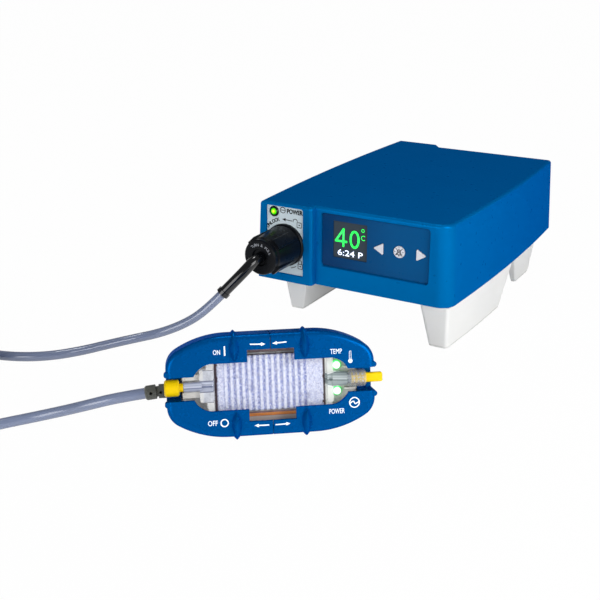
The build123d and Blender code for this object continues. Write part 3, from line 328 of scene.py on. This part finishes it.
def film(name, colour, rough, mottle=0.03, gloss=0.3):
    """Printed film: almost even, with a faint fine texture."""
    return plastic(name, colour, rough, 0.00001, mottle, 5200.0, 0.03, gloss)


def shell_blue(name, colour, rough, metallic):
    """Blue of the housings: a small metallic share and no white reflection keep its colour strong."""
    m = plastic(name, colour, rough, mottle=0.02, spread=0.03, gloss=0.0)
    m.set(Metallic=metallic, Specular_Tint=srgb(60, 140, 235))
    return m


def metal(name, colour, rough, stretch):
    """Bare metal with fine drawn lines."""
    m = Mat(name)
    lines = m.noise(900.0, 4.0, stretch)
    m.set(Base_Color=m.flecked(lines, 0.35, 0.65, shade(colour, 0.86), shade(colour, 1.1)), Metallic=1.0,
          Roughness=m.ramp(lines, 0.3, 0.7, rough - 0.06, rough + 0.1))
    m.bump(lines, 0.00002)
    return m


def clear(name, rough, transmission, depth, strength):
    """Clear moulded plastic with faint ripples, which are given back with it."""
    m = Mat(name)
    ripple = m.noise(170.0, 3.0)
    m.set(Transmission_Weight=transmission, IOR=1.45,
          Roughness=m.ramp(m.noise(700.0), 0.3, 0.7, rough, rough + 0.06))
    m.bump(ripple, depth, strength)
    return m, ripple


def lit_ink(name, low, high, strength):
    """The screen's marks: a colour that shimmers a little and gives light."""
    m = Mat(name)
    shimmer = m.flecked(m.noise(900.0), 0.3, 0.7, low, high)
    m.set(Base_Color=shimmer, Emission_Color=shimmer, Emission_Strength=strength, Roughness=0.4)
    return m


def make_overlay():
    """The keypad's overlay, darker towards the screen: painted shade."""
    m = film("overlay_blue", srgb(0, 78, 132), 0.30, gloss=0.1)
    split = m.node("ShaderNodeSeparateXYZ")
    m.link(m.place, split.inputs[0])
    # Painted shade: the overlay darkens towards its left end, by the screen
    painted_shade_sweep = m.ramp(split.outputs["X"], (BENCH.x - 25) / 1000, (BENCH.x + 40) / 1000, smooth=True)
    m.set(Base_Color=m.mix(painted_shade_sweep, srgb(0, 58, 108), srgb(0, 82, 138)))
    return m


def make_clear_frame():
    """The cartridge's frame: milky, with grey flow paths, painted shade at their edges, a painted
    highlight along the funnel, a painted green glow round the lamps and a faint painted glow all over.
    """
    m, ripple = clear("clear_frame", 0.08, 0.1, 0.0001, 0.3)
    lx, ly, lz = m.local()
    side = m.off(ly, -0.2)
    right_half = m.ramp(lx, -1.0, 1.0)
    lines = m.node("ShaderNodeTexNoise", noise_dimensions="1D")
    m.link(ly, lines.inputs["W"])
    lines.inputs["Scale"].default_value = 0.9
    streaks = lines.outputs[0]

    # At the inlet a streaked tube runs through a grey well; the tube's dark edges and the well's dark rim
    # are painted shade
    tube = m.fade(side, 3.1, 3.4)
    well = m.times(m.ramp(lx, -39.4, -38.6), m.fade(side, 9.0, 9.6))
    tube_edge_shade = m.fade(m.off(side, 3.2), 0.16, 0.34)
    well_rim_shade = m.times(m.fade(m.off(side, 9.3), 0.12, 0.3), m.ramp(lx, -39.4, -38.8))
    grey = m.flecked(m.noise(260.0, 5.0, rough=0.7), 0.35, 0.62, srgb(178, 181, 190), srgb(214, 217, 225))
    streaked = m.flecked(streaks, 0.36, 0.64, srgb(120, 128, 154), srgb(200, 205, 220))
    left_tone = m.mix(well, srgb(244, 244, 243), grey)
    left_tone = m.mix(tube, left_tone, streaked)
    left_tone = m.mix(tube_edge_shade, left_tone, srgb(96, 100, 122))
    left_tone = m.mix(well_rim_shade, left_tone, srgb(120, 122, 132))

    # At the outlet a funnel widens towards the port, with a painted highlight in a pale line along its
    # edge
    past_edge = m.math("SUBTRACT", side, m.ramp(lx, 33.0, 46.0, 3.4, 6.8))
    funnel = m.fade(past_edge, 0.0, 0.5)
    shore_highlight = m.fade(m.off(past_edge), 0.1, 0.35)
    streaked = m.flecked(streaks, 0.38, 0.62, srgb(118, 130, 132), srgb(182, 192, 194))
    right_tone = m.mix(funnel, srgb(243, 244, 241), streaked)
    right_tone = m.mix(shore_highlight, right_tone, srgb(238, 242, 240))

    # Painted light: a green glow round the lamps, given as colour and as light from the frame
    dx, dy, reach = m.from_lamp(lx, ly)
    ring = m.times(m.ramp(reach, 2.6, 3.2), m.ramp(reach, 4.8, 3.6))
    glow = m.times(ring, m.ramp(m.add(dx, dy), 0.8, 3.4))
    tone = m.mix(glow, m.mix(right_half, left_tone, right_tone), srgb(40, 220, 70))

    # The flow paths let the least light straight by, and the rails beside the foil nearly all
    inner = m.mix(right_half, m.math("MAXIMUM", tube, well), funnel)
    rails = m.times(m.ramp(side, 16.4, 16.8), m.ramp(m.off(lx), 15.5, 14.5))
    # The frame glows a little all over: painted light for the light the clear plastic carries
    m.set(Base_Color=tone, Emission_Color=tone, Emission_Strength=m.add(0.2, m.times(glow, 0.6)),
          Alpha=m.times(m.ramp(inner, 0.0, 1.0, 0.6, 0.85), m.ramp(rails, 0.0, 1.0, 1.0, 0.06)))
    return m


def make_clear_collar():
    """The collar at the outlet: clear, a little blue."""
    pale = (0.8, 0.83, 0.9, 1)
    m, ripple = clear("clear_collar", 0.06, 0.7, 0.0003, 0.5)
    m.set(Base_Color=m.flecked(ripple, 0.3, 0.7, shade(pale, 0.9), pale), Alpha=0.55)
    return m


def make_board():
    """Green boards with copper tracks under the mask."""
    m = Mat("board")
    tracks = m.node("ShaderNodeTexBrick")
    m.link(m.place, tracks.inputs["Vector"])
    tracks.inputs["Scale"].default_value = 160.0
    tracks.inputs["Mortar Size"].default_value = 0.06
    tracks.inputs["Color1"].default_value = srgb(20, 92, 50)
    tracks.inputs["Color2"].default_value = srgb(24, 104, 58)
    tracks.inputs["Mortar"].default_value = srgb(62, 140, 84)
    m.set(Base_Color=tracks.outputs[0], Roughness=0.35)
    return m


def make_panel_lamp():
    """The panel's lamp: green with a yellow heart."""
    m = Mat("panel_lamp")
    distance = m.node("ShaderNodeVectorMath", operation="DISTANCE")
    m.link(m.place, distance.inputs[0])
    distance.inputs[1].default_value = bench(-61.1, -6.6, 83.2)
    reach = distance.outputs["Value"]
    glow = m.mix(m.ramp(reach, 0.0002, 0.0018, smooth=True), srgb(225, 255, 0), srgb(70, 205, 0))
    glow = m.mix(m.ramp(reach, 0.0018, 0.0027, smooth=True), glow, srgb(20, 120, 0))
    m.set(Base_Color=glow, Emission_Color=glow, Emission_Strength=0.85, Roughness=0.15)
    return m


def make_warmer_lamp():
    """The warmer's lamps: white with a green rim."""
    m = Mat("warmer_lamp")
    lx, ly, lz = m.local()
    dx, dy, reach = m.from_lamp(lx, ly)
    glow = m.mix(m.ramp(reach, 1.9, 2.5, smooth=True), srgb(240, 255, 244), srgb(60, 245, 110))
    m.set(Base_Color=glow, Emission_Color=glow, Emission_Strength=1.15, Roughness=0.2)
    return m


def make_deck():
    """The warmer's deck: cream, dark beside the cartridge, with a painted pale highlight along the lower
    side and a painted green glow round the lamps.
    """
    m = Mat("deck")
    lx, ly, lz = m.local()
    tone = m.flecked(m.noise(45.0), 0.3, 0.7, srgb(216, 214, 208), srgb(232, 230, 224))
    inside = m.times(m.ramp(m.off(lx), 33.6, 33.2), m.ramp(m.off(ly), 16.6, 17.0))
    dark = m.flecked(m.noise(260.0), 0.35, 0.65, srgb(104, 70, 74), srgb(146, 110, 116))
    tone = m.mix(inside, tone, dark)

    # A pale band along the lower side, a painted highlight, and the orange edge of the heater film above
    # it
    pale_band_highlight = m.times(inside, m.ramp(ly, -20.6, -20.8))
    tone = m.mix(pale_band_highlight, tone, srgb(206, 192, 184))
    stripe = m.times(m.ramp(ly, -20.6, -20.4), m.ramp(ly, -18.7, -18.9))
    tone = m.mix(m.times(stripe, inside), tone, srgb(236, 134, 0))

    # Painted light: the deck turns green and glows a little round the lamps
    dx, dy, reach = m.from_lamp(lx, ly)
    halo = m.ramp(reach, 3.3, 2.5, smooth=True)
    tone = m.mix(halo, tone, srgb(60, 226, 110))
    m.set(Base_Color=tone, Roughness=m.ramp(m.noise(300.0), 0.3, 0.7, 0.35, 0.5),
          Emission_Color=srgb(30, 220, 80), Emission_Strength=m.times(halo, 0.2))
    m.bump(m.noise(1800.0), 0.00003)
    return m


def make_foil():
    """The cartridge's foil: bluish in the valleys, painted shade, and lighter on the ridges, a painted
    highlight; painted glints in white specks and painted shade in its dents; dark where it is crimped at
    its ends and sides.
    """
    m = Mat("foil")
    lx, ly, lz = m.local()
    crush = m.noise(620.0, 6.0, rough=0.72)
    speck = m.noise(1500.0, 3.0, rough=0.7)
    wrinkle = m.noise(95.0, 5.0, rough=0.6)
    # Painted shade and highlight: darker bluish valleys between lighter ridges
    phase = m.math("FRACT", m.math("DIVIDE", m.math("SUBTRACT", lx, RIB_START), RIB_PITCH))
    ridge = m.ramp(m.off(phase, 0.5), 0.12, 0.36, 1.0, 0.0, smooth=True)
    ribbed = m.times(m.ramp(lx, RIBS_LEFT + 0.4, RIBS_LEFT + 1.4),
                     m.ramp(lx, RIBS_RIGHT - 0.4, RIBS_RIGHT - 1.4))
    flat_tone = 0.7
    ridge = m.add(m.times(m.math("SUBTRACT", ridge, flat_tone), ribbed), flat_tone)
    tone = m.mix(ridge, srgb(122, 136, 200), srgb(222, 226, 246))
    # Painted glints in white specks, then painted shade where the bump's dents lie
    tone = m.mix(m.ramp(speck, 0.42, 0.62, 0.0, 0.75), tone, srgb(246, 247, 253))
    tone = m.mix(m.ramp(crush, 0.50, 0.36, 0.0, 0.5), tone, srgb(112, 118, 176))
    tone = m.mix(m.ramp(wrinkle, 0.40, 0.30, 0.0, 0.5), tone, srgb(100, 104, 156))
    rag = m.times(m.math("SUBTRACT", m.noise(330.0, 4.0), 0.5), 5.0)
    ends = m.ramp(m.add(m.off(lx), rag), 30.9, 31.3, smooth=True)
    tone = m.mix(ends, tone, m.flecked(crush, 0.4, 0.6, srgb(54, 34, 34), srgb(112, 84, 80)))
    sides = m.ramp(lz, 22.0, 21.4)
    tone = m.mix(sides, tone, srgb(96, 76, 84))
    m.set(Base_Color=tone, Metallic=0.1, Specular_IOR_Level=0.3,
          Roughness=m.ramp(speck, 0.3, 0.7, 0.34, 0.6))
    m.bump(m.add(crush, m.times(wrinkle, 1.5)), 0.0006, 0.8)
    return m


def make_spotted_yellow():
    """The plug at the outlet, with painted highlights in pale spots where it shows through the collar's
    flutes.
    """
    m = plastic("spotted_yellow", srgb(250, 208, 0), 0.34, mottle=0.03, gloss=0.2)
    lx, ly, lz = m.local()
    # Painted highlights: pale spots on a grid, where the collar's flutes catch the light
    across_spot = m.off(m.math("FRACT", m.math("DIVIDE", m.add(lx, 0.1), 2.5)), 0.5)
    along_spot = m.off(m.math("FRACT", m.math("DIVIDE", m.add(ly, 30.9), 1.9)), 0.5)
    flute_highlight = m.times(m.ramp(m.add(across_spot, along_spot), 0.34, 0.26), m.ramp(lx, 55.3, 55.1))
    tone = m.flecked(m.noise(38.0, 4.0), 0.3, 0.7, srgb(246, 204, 0), srgb(255, 220, 10))
    m.set(Base_Color=m.mix(flute_highlight, tone, srgb(232, 232, 226)))
    return m


black_plastic = plastic("black_plastic", srgb(12, 15, 20), 0.30, mottle=0.2, gloss=0.14)
black_soft = plastic("black_soft", srgb(9, 11, 15), 0.14, grain=0.0, mottle=0.2, spread=0.02, gloss=0.6)
cord_grey = plastic("cord_grey", srgb(124, 136, 166), 0.17, grain=0.0, mottle=0.02, spread=0.02, gloss=0.9)
white_ink_glowing = film("white_ink_glowing", srgb(240, 243, 247), 0.5, 0.01)
# The white ink glows a little: painted light that keeps the thin print bright
white_ink_glowing.set(Emission_Color=srgb(240, 243, 247), Emission_Strength=0.3)
cap_ink = film("cap_ink", srgb(186, 190, 198), 0.5, 0.02)
black_ink = film("black_ink", srgb(24, 26, 30), 0.5, 0.05)
green_digits = lit_ink("green_digits", srgb(20, 236, 84), srgb(70, 255, 120), 0.75)
white_digits = lit_ink("white_digits", srgb(225, 235, 255), srgb(255, 255, 255), 0.45)

node_materials = {
    shell_blue("case_blue", srgb(0, 106, 174), 0.3, 0.3): ["case_cover", "case_bottom"],
    shell_blue("warmer_blue", srgb(0, 82, 152), 0.27, 0.4): ["cover_left", "cover_right", "warmer_base"],
    make_overlay(): ["keypad_overlay"],
    plastic("white_plastic", srgb(244, 244, 242), 0.42, mottle=0.02): ["stand"],
    plastic("foot_rubber", srgb(226, 226, 223), 0.7, grain=0.0001): ["stand_feet"],
    plastic("key_white", srgb(226, 227, 235), 0.36, mottle=0.02): ["key_left", "key_mute", "key_right"],
    film("screen", srgb(56, 68, 78), 0.12, gloss=0.15): ["display_window"],
    film("screen_dark", srgb(16, 18, 22), 0.3): ["display_module"],
    film("label_film", srgb(214, 229, 236), 0.38): ["label_plate"],
    black_soft: ["plug_boot", "lamp_bezel"],
    black_plastic: ["output_socket", "socket_nut", "plug_core", "plug_sleeve", "plug_back_cap",
                    "board_components", "power_capacitors", "alarm_sounder", "mains_inlet",
                    "power_rocker", "fuse_drawer", "cover_switch", "cable_clamp"],
    metal("steel", (0.62, 0.62, 0.64, 1), 0.3, (1, 1, 0.05)):
        ["case_screws", "key_domes", "base_screws", "detent_springs"],
    metal("aluminium", (0.8, 0.8, 0.82, 1), 0.32, (0.05, 1, 1)): ["heat_sink", "heater_plate"],
    metal("brass", (0.82, 0.62, 0.28, 1), 0.28, (1, 0.05, 1)): ["socket_contacts", "inlet_pins"],
    metal("core_iron", (0.22, 0.17, 0.13, 1), 0.5, (1, 1, 8)): ["power_transformer"],
    make_board(): ["main_board", "power_board", "keypad_board", "warmer_board"],
    make_panel_lamp(): ["lamp_lens"],
    make_warmer_lamp(): ["warmer_lamps"],
    make_deck(): ["warmer_deck"],
    plastic("yellow", srgb(246, 207, 0), 0.34, mottle=0.03, gloss=0.2): ["inlet_cap"],
    make_spotted_yellow(): ["outlet_plug"],
    plastic("olive", srgb(92, 94, 88), 0.48, grain=0.0001, mottle=0.08): ["cable_boot"],
    make_clear_frame(): ["cartridge_frame"],
    make_clear_collar(): ["outlet_collar", "fuses"],
    film("orange_film", srgb(206, 116, 24), 0.4): ["heater_foil"],
}


def dress(obj, m):
    """Give every slot of an object one material."""
    if not obj.material_slots:
        obj.data.materials.append(None)
    for one in obj.material_slots:
        one.link = "OBJECT"
        one.material = m.mat


for m, names in node_materials.items():
    for name in names:
        dress(nodes[name], m)
dress(cord, cord_grey)


def piece(name, bm, m, body, smooth=False):
    """Make one piece from a bmesh, with its material and the body that carries it."""
    mesh = bpy.data.meshes.new(name)
    bm.to_mesh(mesh)
    bm.free()
    obj = bpy.data.objects.new(name, mesh)
    show(obj)
    dress(obj, m)
    for face in mesh.polygons:
        face.use_smooth = smooth
    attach(obj, body)
    return obj


# Ribbed foil plate of the cartridge


def share_of(value, full):
    """A value as a share of `full`, held between 0 and 1."""
    return min(1.0, max(0.0, value / full))


def foil_height(x, y):
    """Height of the foil's top at a place: ribs in the middle, crushed flats at both ends."""
    share = share_of(abs(((x - RIB_START) / RIB_PITCH) % 1 - 0.5) - 0.16, 0.24)
    valley = share * share * (3 - 2 * share)
    ribbed = share_of(x - RIBS_LEFT, 1.2) * share_of(RIBS_RIGHT - x, 1.2)
    broad = noise.noise(Vector((x * 0.55, y * 0.55, 3.0)))
    fine = noise.noise(Vector((x * 2.1, y * 2.1, 7.0)))
    dent = broad * 0.22 + fine * 0.10
    ends = max(0.0, (abs(x) - 30.4) / 1.9)
    return FOIL_TOP - RIB_DEPTH * valley * ribbed + dent * (1 - ends) - 2.4 * ends


bm = bmesh.new()
columns, rows = 300, 72
grid = []
for i in range(columns + 1):
    x = FOIL_HALF_LENGTH * (2 * i / columns - 1)
    line = []
    for j in range(rows + 1):
        y = FOIL_HALF_WIDTH * (2 * j / rows - 1)
        edge = 0.0 if 0 < j < rows else 0.5
        ragged = 0.0
        if i in (0, columns):
            ragged = abs(0.3 * noise.noise(Vector((0.0, y * 0.6, 11.0 * (i > 0)))))
        line.append(bm.verts.new(warm(x - ragged * (1 if x > 0 else -1), y, foil_height(x, y) - edge)))
    grid.append(line)
for i in range(columns):
    for j in range(rows):
        bm.faces.new((grid[i][j], grid[i + 1][j], grid[i + 1][j + 1], grid[i][j + 1]))
rim = [grid[i][0] for i in range(columns + 1)] + [grid[columns][j] for j in range(1, rows + 1)]
rim += [grid[i][rows] for i in range(columns - 1, -1, -1)] + [grid[0][j] for j in range(rows - 1, 0, -1)]
low = []
for vert in rim:
    local = vert.co * 1000 - WARMER
    low.append(bm.verts.new(warm(local.dot(ALONG), local.dot(ACROSS), FOIL_BOTTOM)))
for k in range(len(rim)):
    n = (k + 1) % len(rim)
    bm.faces.new((rim[n], rim[k], low[k], low[n]))
bm.faces.new(low[::-1])
foil_plate = piece("foil_plate", bm, make_foil(), "base", smooth=True)
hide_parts("cartridge_plate")


# Printed marks


def letters(text):
    """A word in the built-in face, as points and faces in the plane."""
    curve = bpy.data.curves.new("word", "FONT")
    curve.body = text
    curve.resolution_u = 3
    obj = bpy.data.objects.new("word", curve)
    show(obj)
    mesh = bpy.data.meshes.new_from_object(obj.evaluated_get(bpy.context.evaluated_depsgraph_get()))
    points = [(v.co.x, v.co.y) for v in mesh.vertices]
    faces = [tuple(p.vertices) for p in mesh.polygons]
    bpy.data.objects.remove(obj)
    bpy.data.curves.remove(curve)
    bpy.data.meshes.remove(mesh)
    return points, faces


def thicken(points, faces, bold):
    """Thicken a word by adding six copies of it, each shifted a little to its own side."""
    moves = [(0, 0)]
    if bold:
        moves += [(bold * cos(k * pi / 3), bold * sin(k * pi / 3)) for k in range(6)]
    all_points = [(x + dx, y + dy) for dx, dy in moves for x, y in points]
    all_faces = [tuple(i + k * len(points) for i in face) for k in range(len(moves)) for face in faces]
    return all_points, all_faces


def add_shape(bm, points, faces, place):
    """Add flat faces, placed by a function from two millimetre numbers to a point."""
    made = [bm.verts.new(place(x, y)) for x, y in points]
    for face in faces:
        bm.faces.new([made[i] for i in face])


def write(bm, text, place, left, bottom, right, top, bold=0.0):
    """A word that fills a box, lightly thickened."""
    points, faces = letters(text)
    xs, ys = [p[0] for p in points], [p[1] for p in points]
    x0, y0 = min(xs), min(ys)
    sx, sy = (right - left) / (max(xs) - x0), (top - bottom) / (max(ys) - y0)
    points = [(left + (x - x0) * sx, bottom + (y - y0) * sy) for x, y in points]
    add_shape(bm, *thicken(points, faces, bold), place)


def write_round(bm, text, place, centre, radius, start, step, height, bold=0.0):
    """A word along an arc: the middle angle of its first letter, and the step from letter to letter."""
    size = height / 0.69
    for index, letter in enumerate(text):
        if letter == " ":
            continue
        points, faces = letters(letter)
        xs = [p[0] for p in points]
        middle = (min(xs) + max(xs)) / 2
        flat, faces = thicken([((x - middle) * size, y * size) for x, y in points], faces, bold)
        angle = start + step * index
        turned_points = []
        for x, y in flat:
            out = radius + y
            turned_points.append((centre[0] + out * cos(angle) + x * sin(angle),
                                  centre[1] + out * sin(angle) - x * cos(angle)))
        add_shape(bm, turned_points, faces, place)


def stroke(bm, place, points, width, closed=False):
    """A line of even width through points."""
    count = len(points)
    for k in range(count if closed else count - 1):
        (x0, y0), (x1, y1) = points[k], points[(k + 1) % count]
        angle = atan2(y1 - y0, x1 - x0)
        nx, ny = -sin(angle) * width / 2, cos(angle) * width / 2
        ex, ey = cos(angle) * width * 0.1, sin(angle) * width * 0.1
        add_shape(bm, [(x0 + nx - ex, y0 + ny - ey), (x0 - nx - ex, y0 - ny - ey),
                       (x1 - nx + ex, y1 - ny + ey), (x1 + nx + ex, y1 + ny + ey)], [(0, 1, 2, 3)], place)


def arc(centre, radius, start, end, count=24):
    """Points on an arc, its angles in degrees."""
    angles = [radians(start + (end - start) * k / count) for k in range(count + 1)]
    return [(centre[0] + radius * cos(angle), centre[1] + radius * sin(angle)) for angle in angles]


def disc(bm, place, centre, radius):
    """A filled circle of 24 corners."""
    add_shape(bm, arc(centre, radius, 0, 345, 23), [tuple(range(24))], place)


def arrow(bm, place, tail, head, width, size):
    """A straight arrow with a solid point."""
    angle = atan2(head[1] - tail[1], head[0] - tail[0])
    ux, uy = cos(angle), sin(angle)
    neck = (head[0] - ux * size, head[1] - uy * size)
    stroke(bm, place, [tail, neck], width)
    wing = size * 0.42
    wings = [(neck[0] - uy * wing, neck[1] + ux * wing), (neck[0] + uy * wing, neck[1] - ux * wing)]
    add_shape(bm, [head] + wings, [(0, 1, 2)], place)


def on_label(x, z):
    return bench(x, LABEL_FRONT, z)


def on_screen(x, z):
    return bench(x, SCREEN_FRONT, z)


def on_cap(x, z):
    return bench(x, CAP_FRONT, z)


def on_mute_key(x, z):
    return bench(MUTE_CENTRE[0] + x, KEY_FRONT, MUTE_CENTRE[1] + z)


def on_face(x, y):
    return warm(x, y, FACE_FRONT)


def on_rocker(x, z):
    """The rocker's face is tilted, and its ends stand 0.13 mm prouder than its middle."""
    proud = 2.55 + 0.13 * abs(z) / 9.5
    local = Matrix.Rotation(ROCKER_TILT, 3, "X") @ Vector((x, proud, z))
    return (BENCH + ROCKER_CENTRE + local) / 1000


# Label: a power sign and word, UNLOCK round the plug, an open padlock and a shut one
bm = bmesh.new()
shackle = [(-41.0, 45.7), (-41.0, 47.2)] + arc((-39.8, 47.2), 1.2, 180, 0, 12) + [(-38.6, 45.7)]
stroke(bm, on_label, arc((-54.3, 84.5), 2.1, 0, 360, 28), 0.55)
stroke(bm, on_label, [(-55.8, 84.5), (-52.8, 84.5)], 0.6)
write(bm, "POWER", on_label, -50.7, 82.7, -37.9, 85.9, 0.2)
arrow(bm, on_label, (-46.6, 77.4), (-54.9, 77.8), 0.6, 2.9)
write_round(bm, "UNLOCK", on_label, PLUG_CENTRE, 18.0, radians(141.0), radians(-6.6), 2.4, 0.14)
stroke(bm, on_label, arc((-43.9, 77.4), 1.8, 200, 0), 0.5)
stroke(bm, on_label, [(-42.4, 76.9), (-38.9, 76.9), (-38.9, 73.2), (-42.4, 73.2)], 0.5, True)
disc(bm, on_label, (-40.6, 75.0), 0.6)
stroke(bm, on_label, [(-41.6, 45.6), (-38.0, 45.6), (-38.0, 42.0), (-41.6, 42.0)], 0.5, True)
stroke(bm, on_label, shackle, 0.5)
disc(bm, on_label, (-39.8, 43.9), 0.6)
stroke(bm, on_label, arc(PLUG_CENTRE, 17.9, 285, 300, 8), 0.5)
piece("label_marks", bm, black_ink, "base")

# Screen: 40 degrees C in green, and the time below in white
bm = bmesh.new()
four = [(-8.2, 62.8), (-8.2, 75.3), (-14.3, 66.2), (-5.8, 66.2)]
nought = [(0.7 + 3.2 * cos(radians(a)), 68.8 + 5.9 * sin(radians(a))) for a in range(0, 360, 10)]
stroke(bm, on_screen, four, 1.5)
for joint in four:
    disc(bm, on_screen, joint, 0.75)
stroke(bm, on_screen, nought, 1.5, True)
stroke(bm, on_screen, arc((7.2, 76.4), 1.05, 0, 360, 16), 0.42)
stroke(bm, on_screen, arc((7.7, 71.0), 1.65, 45, 315, 20), 0.45)
piece("screen_temperature", bm, green_digits, "base")
bm = bmesh.new()
write(bm, "6:24 P", on_screen, -12.6, 55.7, 7.4, 60.0, 0.03)
piece("screen_time", bm, white_digits, "base")

# Mute key: a bell with its clapper, crossed out, and three short rays
bm = bmesh.new()
bell_half = [(-2.2, -2.0), (-1.3, -1.1), (-1.0, 0.8)]
stroke(bm, on_mute_key, bell_half + [(0.0, 1.8)] + [(-x, z) for x, z in bell_half[::-1]], 0.5, True)
disc(bm, on_mute_key, (0.0, -2.7), 0.45)
stroke(bm, on_mute_key, [(-2.7, 2.6), (2.7, -2.8)], 0.42)
stroke(bm, on_mute_key, [(-2.7, -2.8), (2.7, 2.6)], 0.42)
for angle in (0.0, pi / 2, pi):
    stroke(bm, on_mute_key, [(out * cos(angle), out * sin(angle)) for out in (2.6, 3.5)], 0.38)
piece("mute_mark", bm, black_ink, "key_mute")

# Back cap of the plug
bm = bmesh.new()
write_round(bm, "TURN & PULL", on_cap, PLUG_CENTRE, 8.4, radians(131.0), radians(-10.5), 1.9)
piece("cap_marks", bm, cap_ink, "base")

# Left cover: ON with its bar, OFF with its ring, and two arrows
bm = bmesh.new()
write(bm, "ON", on_face, -32.9, 19.0, -28.9, 21.7, 0.05)
stroke(bm, on_face, [(-26.3, 23.6), (-26.3, 18.3)], 0.85)
write(bm, "OFF", on_face, -37.4, -21.9, -31.9, -18.9, 0.05)
stroke(bm, on_face, arc((-28.0, -20.6), 2.05, 0, 360, 32), 0.7)
arrow(bm, on_face, (-11.7, 24.0), (-2.9, 23.7), 0.7, 2.5)
arrow(bm, on_face, (-2.5, -23.3), (-11.0, -23.2), 0.7, 2.5)
piece("marks_left", bm, white_ink_glowing, "cover_left")

# Right cover: two arrows, TEMP with a thermometer, POWER with a wave in a ring
bm = bmesh.new()
glass = [(46.4, 12.2), (46.4, 16.6)] + arc((45.9, 16.6), 0.5, 0, 180, 8) + [(45.4, 12.2)]
wave = [(44.9, -13.6), (46.4, -12.6), (47.1, -12.4), (47.9, -14.0), (48.8, -13.7), (50.3, -12.8)]
arrow(bm, on_face, (9.2, 24.3), (1.1, 23.9), 0.7, 2.5)
arrow(bm, on_face, (1.2, -23.4), (9.9, -23.2), 0.7, 2.5)
write(bm, "TEMP", on_face, 34.3, 15.9, 41.1, 18.7, 0.04)
write(bm, "POWER", on_face, 32.7, -19.1, 41.7, -16.2, 0.04)
disc(bm, on_face, (45.9, 11.3), 1.25)
stroke(bm, on_face, glass, 0.28)
stroke(bm, on_face, arc((47.6, -13.2), 2.85, 0, 360, 36), 0.65)
stroke(bm, on_face, wave, 0.62)
piece("marks_right", bm, white_ink_glowing, "cover_right")

# Power rocker: a bar and a ring
bm = bmesh.new()
stroke(bm, on_rocker, [(0.0, 7.4), (0.0, 4.6)], 0.6)
stroke(bm, on_rocker, arc((0.0, -5.8), 1.5, 0, 360, 24), 0.5)
piece("rocker_marks", bm, white_ink_glowing, "power_rocker")

# Pale floor, world and soft studio lamps
FLOOR_HALF, FLOOR_DROP = 6.0, 0.0002
corners = [(-FLOOR_HALF, -FLOOR_HALF, 0), (FLOOR_HALF, -FLOOR_HALF, 0),
           (FLOOR_HALF, FLOOR_HALF, 0), (-FLOOR_HALF, FLOOR_HALF, 0)]
floor_mesh = bpy.data.meshes.new("floor")
floor_mesh.from_pydata(corners, [], [(0, 1, 2, 3)])
floor = bpy.data.objects.new("floor", floor_mesh)
floor.location.z = -FLOOR_DROP
show(floor)


def seen_white(tree, share):
    """The share of the background's white that camera, glossy and clear-plastic rays see."""
    path = tree.nodes.new("ShaderNodeLightPath")
    total = path.outputs["Is Camera Ray"]
    for other in ("Is Glossy Ray", "Is Transmission Ray"):
        either = tree.nodes.new("ShaderNodeMath")
        either.operation = "MAXIMUM"
        tree.links.new(total, either.inputs[0])
        tree.links.new(path.outputs[other], either.inputs[1])
        total = either.outputs[0]
    made = tree.nodes.new("ShaderNodeMath")
    made.operation = "MULTIPLY"
    tree.links.new(total, made.inputs[0])
    made.inputs[1].default_value = share
    return made.outputs[0]


def blend_by_ray(tree, share, lighting, seen, output):
    """Show one shader to the rays that see the background, and light the object with the other."""
    blend = tree.nodes.new("ShaderNodeMixShader")
    tree.links.new(seen_white(tree, share), blend.inputs[0])
    tree.links.new(lighting.outputs[0], blend.inputs[1])
    tree.links.new(seen.outputs[0], blend.inputs[2])
    tree.links.new(blend.outputs[0], tree.nodes[output].inputs["Surface"])


floor_mat = bpy.data.materials.new("floor")
floor_mat.use_nodes = True
tree = floor_mat.node_tree
base = tree.nodes["Principled BSDF"]
base.inputs["Base Color"].default_value = (0.86, 0.86, 0.86, 1)
base.inputs["Roughness"].default_value = 0.9
base.inputs["Specular IOR Level"].default_value = 0.1
white = tree.nodes.new("ShaderNodeEmission")
white.inputs["Strength"].default_value = 1.0
blend_by_ray(tree, 0.985, base, white, "Material Output")
floor_mesh.materials.append(floor_mat)

# Each background fades with height: from one height to another, from one strength to another
SOFT_FADE = (0.0, 0.7, 0.4, 0.17)
SEEN_FADE = (0.02, 0.34, 1.0, 0.25)
world = bpy.data.worlds.new("studio")
bpy.context.scene.world = world
world.use_nodes = True
tree = world.node_tree
soft = tree.nodes["Background"]
soft.inputs["Color"].default_value = (1, 1, 1, 1)
seen = tree.nodes.new("ShaderNodeBackground")
sky = tree.nodes.new("ShaderNodeTexCoord")
height = tree.nodes.new("ShaderNodeSeparateXYZ")
tree.links.new(sky.outputs["Generated"], height.inputs[0])
for background, numbers in ((soft, SOFT_FADE), (seen, SEEN_FADE)):
    fade = tree.nodes.new("ShaderNodeMapRange")
    fade.interpolation_type = "SMOOTHSTEP"
    for socket, number in zip(fade.inputs[1:5], numbers):
        socket.default_value = number
    tree.links.new(height.outputs["Z"], fade.inputs[0])
    tree.links.new(fade.outputs[0], background.inputs["Strength"])
blend_by_ray(tree, 1.0, soft, seen, "World Output")


def lamp(name, place, aim, size, power):
    """A square soft lamp that points at a place."""
    data = bpy.data.lights.new(name, "AREA")
    data.size = size
    data.energy = power
    obj = bpy.data.objects.new(name, data)
    obj.location = place
    obj.rotation_euler = (Vector(aim) - Vector(place)).to_track_quat("-Z", "Y").to_euler()
    show(obj)


lamp("right_lamp", (0.58, -0.24, 0.27), (0.05, -0.06, 0.05), 0.4, 2.7)
lamp("front_lamp", (-0.1, -1.5, 0.3), (0.0, -0.05, 0.05), 0.9, 9.2)
lamp("top_lamp", (-0.3, 0.3, 1.6), (0.0, 0.0, 0.0), 0.36, 4.4)

bpy.context.scene.view_settings.view_transform = "Standard"
